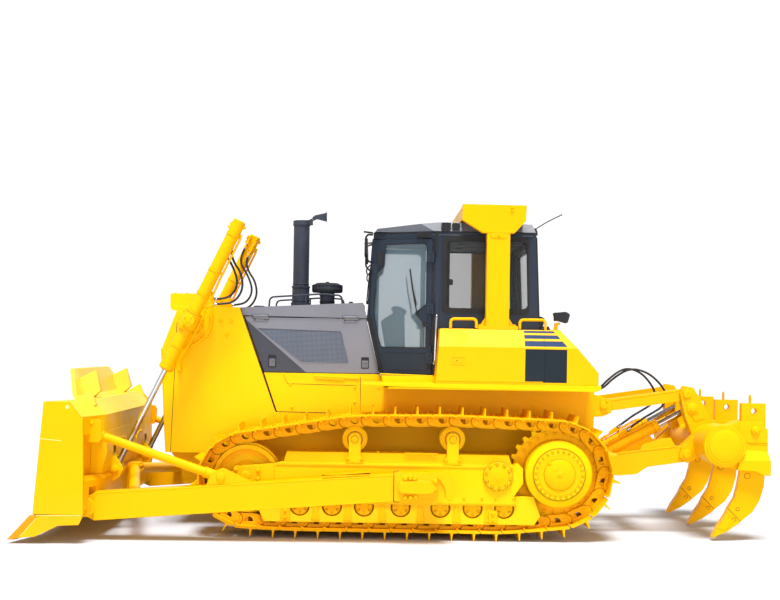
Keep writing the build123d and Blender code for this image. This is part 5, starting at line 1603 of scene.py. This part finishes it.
# --------------------------------------------------- tank and side boxes
def tank_yellow_bits(k):
    Y = (0, 1, 0)
    for a, b in ((1062, 808), (380, 127)):
        k.bent([(a, 1030, 2066), (a, 1030, 2156), (b, 1030, 2158), (b, 1030, 2066)], 14, 46)
    # lamp bracket
    k.side([(-10, 2056), (30, 2056), (20, 2130), (-30, 2140), (-40, 2120), (-12, 2110)], 885, 915)
    k.box(-20, 60, 860, 940, 2055, 2066)
    k.lathe((110, 900, 2056), (0, 0, 1), [(0, 12), (30, 12), (34, 8)], 14)
    # latch plate on the side box door
    o = rounded([(1068, 1704), (924, 1704), (924, 1790), (1068, 1790)], 10, 3)
    i = rounded([(1052, 1718), (940, 1718), (940, 1776), (1052, 1776)], 8, 3)
    k.holed(o, i, lambda a, b, f: (a, 1203 if f else 1198, b))
    k.side([(1040, 1726), (952, 1726), (952, 1768), (1040, 1768)], 1199, 1202)
    # door panel edge of the side box
    k.tube_path([Vector((1196, 1201, 1548)), Vector((170, 1201, 1548))], 4, 6)
    # lid strip on top of the box
    k.plan(rounded([(1150, 850), (1150, 1030), (830, 1030), (830, 850)], 14, 3), 2055, 2061)
    # rear face bolts
    for y in (200, 600, 1000):
        k.bolt((-374, y, 1560), (-1, 0, 0), 13, 11)


both_sides("tank_fittings", "chassis", yellow, "yellow_paint", tank_yellow_bits)
k = Kit("fuel_cap", "chassis", black_plastic, "dark_metal", 32.0)
k.lathe((60, 420, 2057), (0, 0, 1), [(0, 66), (24, 66), (30, 60), (46, 56), (50, 48)], 36)
k.lathe((60, -420, 2057), (0, 0, 1), [(0, 66), (24, 66), (30, 60), (46, 56), (50, 48)], 36)
k.make()


def tank_lines(k):
    strip_line(k, [(149, 2060), (149, 2056)], 1000, 3)
    k.tube_path([Vector((1000, 1201.2, 1747)), Vector((1012, 1201.2, 1747))], 5, 8)
    # painted shadow outlining the latch plate
    strip_line(k, [(1062, 1709), (930, 1709), (930, 1785), (1062, 1785), (1062, 1709)], 1200.4, 2.4, 0.5)
    # door seams of the side boxes
    strip_line(k, [(1203, 1880), (1206, 1700)], 1200, 3, 0.8)


both_sides("tank_seams_and_painted_shadow", "chassis", rubber, "dark_metal", tank_lines)

# working lamps at the rear of the tank
k = Kit("work_lamps", "chassis", black_plastic, "dark_metal", 32.0)
lens = Kit("work_lamp_lenses", "chassis", clear_lens, "glass", 32.0)
for s in (1, -1):
    k.side(rounded([(36, 2232), (-84, 2246), (-128, 2220), (-100, 2128), (10, 2160)], 16, 4), s * 848, s * 952)
    lens.side(rounded([(-126, 2216), (-102, 2134), (-108, 2133), (-132, 2214)], 3, 2), s * 858, s * 942)
k.make()
lens.make()
k = Kit("work_lamp_ribs", "chassis", black_plastic, "dark_metal", 32.0)
for s in (1, -1):
    for i in range(5):
        x = 22 - i * 22
        k.side([(x, 2236), (x - 8, 2237), (x - 8, 2150), (x, 2160)], s * 844, s * 956)
k.make()


# -------------------------------------------------------------- ripper
def ripper_chassis(k):
    Y = (0, 1, 0)
    for c, y in (((-563, 1297), 482), ((-534, 695), 640)):
        k.lathe((c[0], y, c[1]), Y, [(0, 44), (12, 44), (16, 38), (17, 14)], 32)
        k.bolt((c[0] - 26, y + 12, c[1] + 46), Y, 10, 9)
    k.side(rounded([(-520, 1372), (-600, 1350), (-610, 1240), (-540, 1220)], 20, 3), 482, 490)
    # cover bolts on the drive case's rear
    for y in (60, 220, 400, 560):
        for z in (1000, 1400):
            k.bolt((-440, y, z), (-1, 0, 0), 13, 11)
    k.plan([(-470, 0), (-470, 320), (-440, 320), (-440, 0)], 1090, 1130)


both_sides("ripper_mount_fittings", "chassis", yellow, "yellow_paint", ripper_chassis)


def beam_yellow(k):
    Y = (0, 1, 0)
    C = (-1639, 947)
    # end caps of the beam's tube
    k.annulus((C[0], 1110, C[1]), Y, 162, 206, 4, 64)
    k.lathe((C[0], 1121, C[1]), Y, [(0, 160), (3, 160), (8, 152), (9, 60)], 64)
    # link pins, with keeper plates and bolts
    for c, y, r in (((-1418, 1429), 483, 46), ((-1389, 827), 640, 48)):
        k.lathe((c[0], y, c[1]), Y, [(0, r), (12, r), (16, r - 8), (17, 14)], 36)
        k.bolt((c[0] - 6, y + 12, c[1] + 24), Y, 9, 8, washer=False)
    k.lathe((-1475, 482, 1278), Y, [(0, 58), (10, 58), (14, 50), (15, 30), (24, 26), (25, 10)], 36)
    k.side(rounded([(-1360, 1470), (-1440, 1500), (-1560, 1330), (-1600, 1180), (-1500, 1150), (-1420, 1300)], 20, 3), 482, 487)
    # beam's rib pads and shank pins at both outer pockets
    for y0 in (1040,):
        k.lathe((-1957, y0, 1098), Y, [(0, 46), (10, 44), (18, 38), (22, 34), (23, 20), (32, 18), (33, 8)], 32)
        k.tube_path([Vector((-1875, y0 + 1, 986)), Vector((-2078, y0 + 1, 984))], 6, 8)
        k.tube_path([Vector((-1900, y0 + 1, 968)), Vector((-2079, y0 + 1, 962))], 4, 8)
    k.lathe((-1952, 90, 1092), Y, [(0, 40), (10, 40), (14, 34)], 32)
    # cast shoulder running from the boss into the pocket
    k.lathe((C[0], 1096, C[1]), Y, [(-150, 196), (-60, 208), (-12, 209), (0, 205)], 64)
    k.side(rounded([(-1560, 1130), (-1640, 1150), (-1730, 1162), (-1790, 1192), (-1800, 1100), (-1700, 1040)], 24, 4), 900, 1046)
    # weld beads round the castings
    k.lathe((C[0], 700, C[1]), Y, [(-8, 178), (-4, 190), (0, 204), (3, 206)], 56)
    for y in (484, 511, 599, 639):
        k.tube_path([Vector((-1470, y, 892)), Vector((-1530, y, 1085)), Vector((-1640, y, 1127))], 5, 6)


both_sides("ripper_beam_fittings", "ripper_beam", cast_yellow, "yellow_paint", beam_yellow)
k = Kit("shank_fittings", "ripper_beam", yellow, "yellow_paint", 32.0)
for y in (950, 0, -950):
    # lifting eye on the shank's top
    pts = [Vector((-1925, y + 22 * math.cos(a), 1412 + 34 * math.sin(a))) for a in [math.pi * (-0.12 + 1.24 * i / 14) for i in range(15)]]
    k.tube_path([Vector((-1925, y + 21, 1364)), *pts, Vector((-1925, y - 21, 1364))], 8, 10)
    for s in (1, -1):
        # hole bosses, shank foot pin and the point's keeper pins
        k.annulus((-1955, y + s * 37, 1289), (0, s, 0), 29, 40, 2.0, 32)
        k.lathe((-1898, y + s * 36, 648), (0, s, 0), [(0, 26), (4, 26), (6, 20)], 24)
        k.lathe((-1770, y + s * 49, 215), (0, s, 0), [(0, 15), (4, 15), (5, 10)], 18)
        k.lathe((-1808, y + s * 36, 318), (0, s, 0), [(0, 15), (4, 15), (5, 10)], 18)
        # point's cheeks
        k.side(rounded([(-1605, 128), (-1690, 258), (-1770, 198), (-1690, 110)], 14, 3), y + s * 49, y + s * 54)
    # heel plate on the rear of the point
    k.side([(-1836, 190), (-1700, 95), (-1562, 30), (-1562, 36), (-1698, 103), (-1830, 198)], y - 46, y + 46)
k.make()
k = Kit("shank_gaps", "ripper_beam", rubber, "dark_metal", 32.0)
for y in (950, 0, -950):
    for s in (1, -1):
        k.tube_path([Vector((-1711, y + s * 36.2, 325)), Vector((-1834, y + s * 36.2, 202))], 3.0, 6)
        # shadow gaps round the keeper pins
        for cx, cz, d, r in ((-1770, 215, 49, 15), (-1808, 318, 36, 15), (-1898, 648, 36, 26)):
            k.annulus((cx, y + s * (d + 0.8), cz), (0, s, 0), r, r + 4.6, 0.8, 24)
k.make()
k = Kit("ripper_arm_fittings", "ripper_arm", yellow, "yellow_paint", 32.0)
for s in (1, -1):
    k.tube_path([Vector((-667, s * 592, 816)), Vector((-1303, s * 592, 899))], 5, 6)
    k.tube_path([Vector((-993, s * 592, 690)), Vector((-883, s * 592, 615)), Vector((-700, s * 592, 598))], 5, 6)
    k.annulus((-534, s * 592, 695), (0, s, 0), 31, 60, 5, 36)
    k.annulus((-1389, s * 592, 827), (0, s, 0), 31, 56, 5, 36)
k.make()
k = Kit("ripper_link_fittings", "ripper_links", yellow, "yellow_paint", 32.0)
for s in (1, -1):
    k.annulus((-563, s * 439, 1297), (0, s, 0), 29, 50, 5, 36)
    k.annulus((-1418, s * 439, 1429), (0, s, 0), 29, 50, 5, 36)
    k.tube_path([Vector((-640, s * 439, 1352)), Vector((-1340, s * 439, 1462))], 4, 6)
k.make()


def rip_fit(side_name, s):
    CF, CR = (-600.0, 780.0), (-1525.0, 1294.0)
    L = math.dist(CF, CR)
    ux, uz = (CR[0] - CF[0]) / L, (CR[1] - CF[1]) / L

    def P(t, off=0.0, y=262.0):
        """off is upwards from the cylinder's axis."""
        return Vector((CF[0] + ux * t + uz * off, s * y, CF[1] + uz * t - ux * off))
    U = Vector((ux, 0, uz))
    UP = Vector((uz, 0, -ux))
    k = Kit("ripper_cylinder_fittings_" + side_name, "ripper_barrel_" + side_name, yellow, "yellow_paint", 32.0)
    k.lathe_rings([(P(640), 68), (P(648), 68), (P(655), 58), (P(656), 38)], U, 36)
    for i in range(8):
        a = 2 * math.pi * i / 8 + 0.3
        sv = U.cross(UP).normalized()
        k.bolt(P(647) + UP * (52 * math.cos(a)) + sv * (52 * math.sin(a)), U, 8, 10, washer=False)
    for t in (130, 330, 560):
        k.lathe_rings([(P(t - 11), 56), (P(t - 11), 62), (P(t + 11), 62), (P(t + 11), 56)], U, 32, close=False)
        k.bolt(P(t, 60), UP, 10, 16)
    # hard pipes along the top of the barrel, with their block
    for dy in (-26, 26):
        k.tube_path([P(100, 58, 262 + dy), P(130, 76, 262 + dy), P(560, 76, 262 + dy), P(600, 66, 262 + dy)], 9, 10)
    for t in (180, 330, 520):
        k.lathe_rings([(P(t - 12, 76, 236), 14), (P(t + 12, 76, 236), 14)], U, 6)
        k.lathe_rings([(P(t - 12, 76, 288), 14), (P(t + 12, 76, 288), 14)], U, 6)
    k.bolt(P(90, 48), UP, 16, 20)
    k.make()
    k = Kit("ripper_hose_ends_" + side_name, "ripper_barrel_" + side_name, chrome, "steel", 32.0)
    a, b = Vector(port(s * 262, 2)), Vector(port(s * 262, -30))
    d = (b - a).normalized()
    k.lathe_rings([(a, 19), (a + d * 18, 19)], d, 6)
    k.lathe_rings([(a + d * 18, 15), (a + d * 22, 16), (a + d * 56, 16), (a + d * 60, 13)], d, 20)
    k.make()


for side_name, s in (("left", 1), ("right", -1)):
    rip_fit(side_name, s)
k = Kit("ripper_hose_roots", "chassis", chrome, "steel", 32.0)
for s in (1, -1):
    a = Vector((-440, s * 80, 1432))
    d = Vector((-1, 0, 0))
    k.lathe_rings([(a - d * 4, 19), (a + d * 18, 19)], d, 6)
    k.lathe_rings([(a + d * 18, 15), (a + d * 22, 16), (a + d * 60, 16), (a + d * 64, 13)], d, 20)
k.make()


# --------------------------------------------------- cross link, brace
def brace_bits(k):
    u = (Vector((3243, 602)) - Vector((4549, 1036))).normalized()

    def B(t, y=1500.0):
        return Vector((4549 + u.x * t, y, 1036 + u.y * t))
    ax = Vector((u.x, 0, u.y))
    for t0, t1, r in ((176, 192, 56), (60, 74, 60), (1210, 1226, 54)):
        k.lathe_rings([(B(t0), r - 6), (B(t0) + ax * 3, r), (B(t1) - ax * 3, r), (B(t1), r - 6)], ax, 32)
    return k


k = Kit("brace_fittings_left", "blade", yellow, "yellow_paint", 32.0)
brace_bits(k)
k.make()
k = Kit("tilt_cylinder_fittings", "blade", yellow, "yellow_paint", 32.0)
u = (Vector((3243, 602)) - Vector((4549, 1036))).normalized()
ax = Vector((u.x, 0, u.y))


def tiltP(t, off=0.0, y=-1500.0):
    return Vector((4549 + u.x * t - u.y * off, y, 1036 + u.y * t + u.x * off))


k.lathe_rings([(tiltP(396), 42), (tiltP(398), 84), (tiltP(404), 90), (tiltP(446), 90), (tiltP(452), 76)], ax, 36)
for t in (700, 1000, 1180):
    k.lathe_rings([(tiltP(t - 12), 72), (tiltP(t - 12), 80), (tiltP(t + 12), 80), (tiltP(t + 12), 72)], ax, 36, close=False)
k.tube_path([tiltP(430, -84), tiltP(520, -92), tiltP(1180, -92), tiltP(1240, -70)], 11, 10)
k.make()


# ------------------------------------------------ finishes of CAD nodes
FINISH = {
    "main_frame": cast_yellow, "drive_case": yellow_low, "engine_block": dark_metal, "radiator_guard": yellow_shade_lifted,
    "front_grille": black_plastic, "hood": grey, "engine_door_left": door_grey, "engine_door_right": door_grey,
    "lower_side_panels": yellow_shade_lifted, "exhaust_stack": dark_metal, "rain_cap": dark_metal, "pre_cleaner": dark_metal,
    "side_boxes": tank_yellow, "fuel_tank": tank_yellow, "fenders": yellow_shade_lifted, "cab_shell": cab_blue,
    "cab_door_left": cab_blue, "cab_door_right": cab_blue, "door_glass_left": door_glass, "door_glass_right": door_glass,
    "cab_windows": glass, "cab_interior": black_plastic, "rops": yellow, "track_frames": yellow_frame_shade_lifted,
    "sprockets": cast_shade_lifted, "idlers": yellow_frame_shade_lifted, "track_rollers": cast_shade_lifted, "ripper_mount": cast_yellow,
    "lift_barrel_left": yellow, "lift_barrel_right": yellow, "lift_rod_left": chrome, "lift_rod_right": chrome,
    "moldboard": yellow_low, "cutting_edge": edge_steel_dust_and_shade, "blade_back": yellow_back, "spill_guard": yellow_painted_highlight,
    "push_arms": yellow, "brace_left": yellow, "tilt_cylinder_right": yellow, "cross_links": yellow,
    "ripper_arm": yellow, "ripper_upper_links": yellow, "ripper_beam": cast_yellow, "ripper_shanks": yellow,
    "ripper_barrel_left": yellow, "ripper_barrel_right": yellow, "ripper_rod_left": chrome, "ripper_rod_right": chrome,
}
for node_name, finish in FINISH.items():
    ob = frame["nodes"][node_name] if not isinstance(frame["nodes"], list) else bpy.data.objects[node_name]
    if hasattr(ob, "material_slots"):
        if not ob.material_slots:
            ob.data.materials.append(finish)
        for ms in ob.material_slots:
            ms.material = finish


# ------------------------------------------------------- studio and light
def area(name, loc, target, size, energy, size_y=None):
    li = bpy.data.lights.new(name, "AREA")
    li.energy = energy
    li.size = size
    if size_y:
        li.shape = "RECTANGLE"
        li.size_y = size_y
    ob = bpy.data.objects.new(name, li)
    ob.location = loc
    ob.rotation_euler = (Vector(target) - Vector(loc)).to_track_quat("-Z", "Y").to_euler()
    bpy.context.scene.collection.objects.link(ob)
    return ob


world = bpy.data.worlds.new("studio")
bpy.context.scene.world = world
world.use_nodes = True
wn, wl = world.node_tree.nodes, world.node_tree.links
wtc = N(wn, "ShaderNodeTexCoord")
wsep = N(wn, "ShaderNodeSeparateXYZ")
wl.new(wtc.outputs["Generated"], wsep.inputs[0])
wmap = N(wn, "ShaderNodeMapRange")
wmap.interpolation_type = "SMOOTHSTEP"
wmap.inputs["From Min"].default_value = 0.30
wmap.inputs["From Max"].default_value = 0.62
wmap.inputs["To Min"].default_value = 1.0
wmap.inputs["To Max"].default_value = 0.20
wl.new(wsep.outputs["Z"], wmap.inputs["Value"])
wcol = N(wn, "ShaderNodeCombineColor")
for ch in range(3):
    wl.new(wmap.outputs["Result"], wcol.inputs[ch])
wl.new(wcol.outputs[0], wn["Background"].inputs["Color"])
wn["Background"].inputs["Strength"].default_value = 1.1
area("front_fill", (0.3, 16.0, 1.0), (0.3, 0.0, 1.2), 16.0, 380.0, 2.0)
sun = bpy.data.lights.new("overhead", "SUN")
sun.energy = 4.6
sun.angle = math.radians(22)
sun_ob = bpy.data.objects.new("overhead", sun)
sun_ob.rotation_euler = (math.radians(-20), 0.0, 0.0)
bpy.context.scene.collection.objects.link(sun_ob)

floor_mat, nt, nodes, links, bsdf = new_mat("pale_floor")
tc, vec = base_nodes(nodes, links)
fn = N(nodes, "ShaderNodeTexNoise")
fn.inputs["Scale"].default_value = 3.0
links.new(vec, fn.inputs["Vector"])
links.new(mix_color(nodes, links, fn.outputs["Fac"], (0.59, 0.62, 0.66), (0.61, 0.64, 0.68)), bsdf.inputs["Base Color"])
bsdf.inputs["Roughness"].default_value = 0.9
bsdf.inputs["Specular IOR Level"].default_value = 0.1
me = bpy.data.meshes.new("floor")
me.from_pydata([(-60, -60, 0), (60, -60, 0), (60, 60, 0), (-60, 60, 0)], [], [(0, 1, 2, 3)])
me.materials.append(floor_mat)
floor = bpy.data.objects.new("floor", me)
bpy.context.scene.collection.objects.link(floor)
bpy.context.scene.view_settings.view_transform = "Standard"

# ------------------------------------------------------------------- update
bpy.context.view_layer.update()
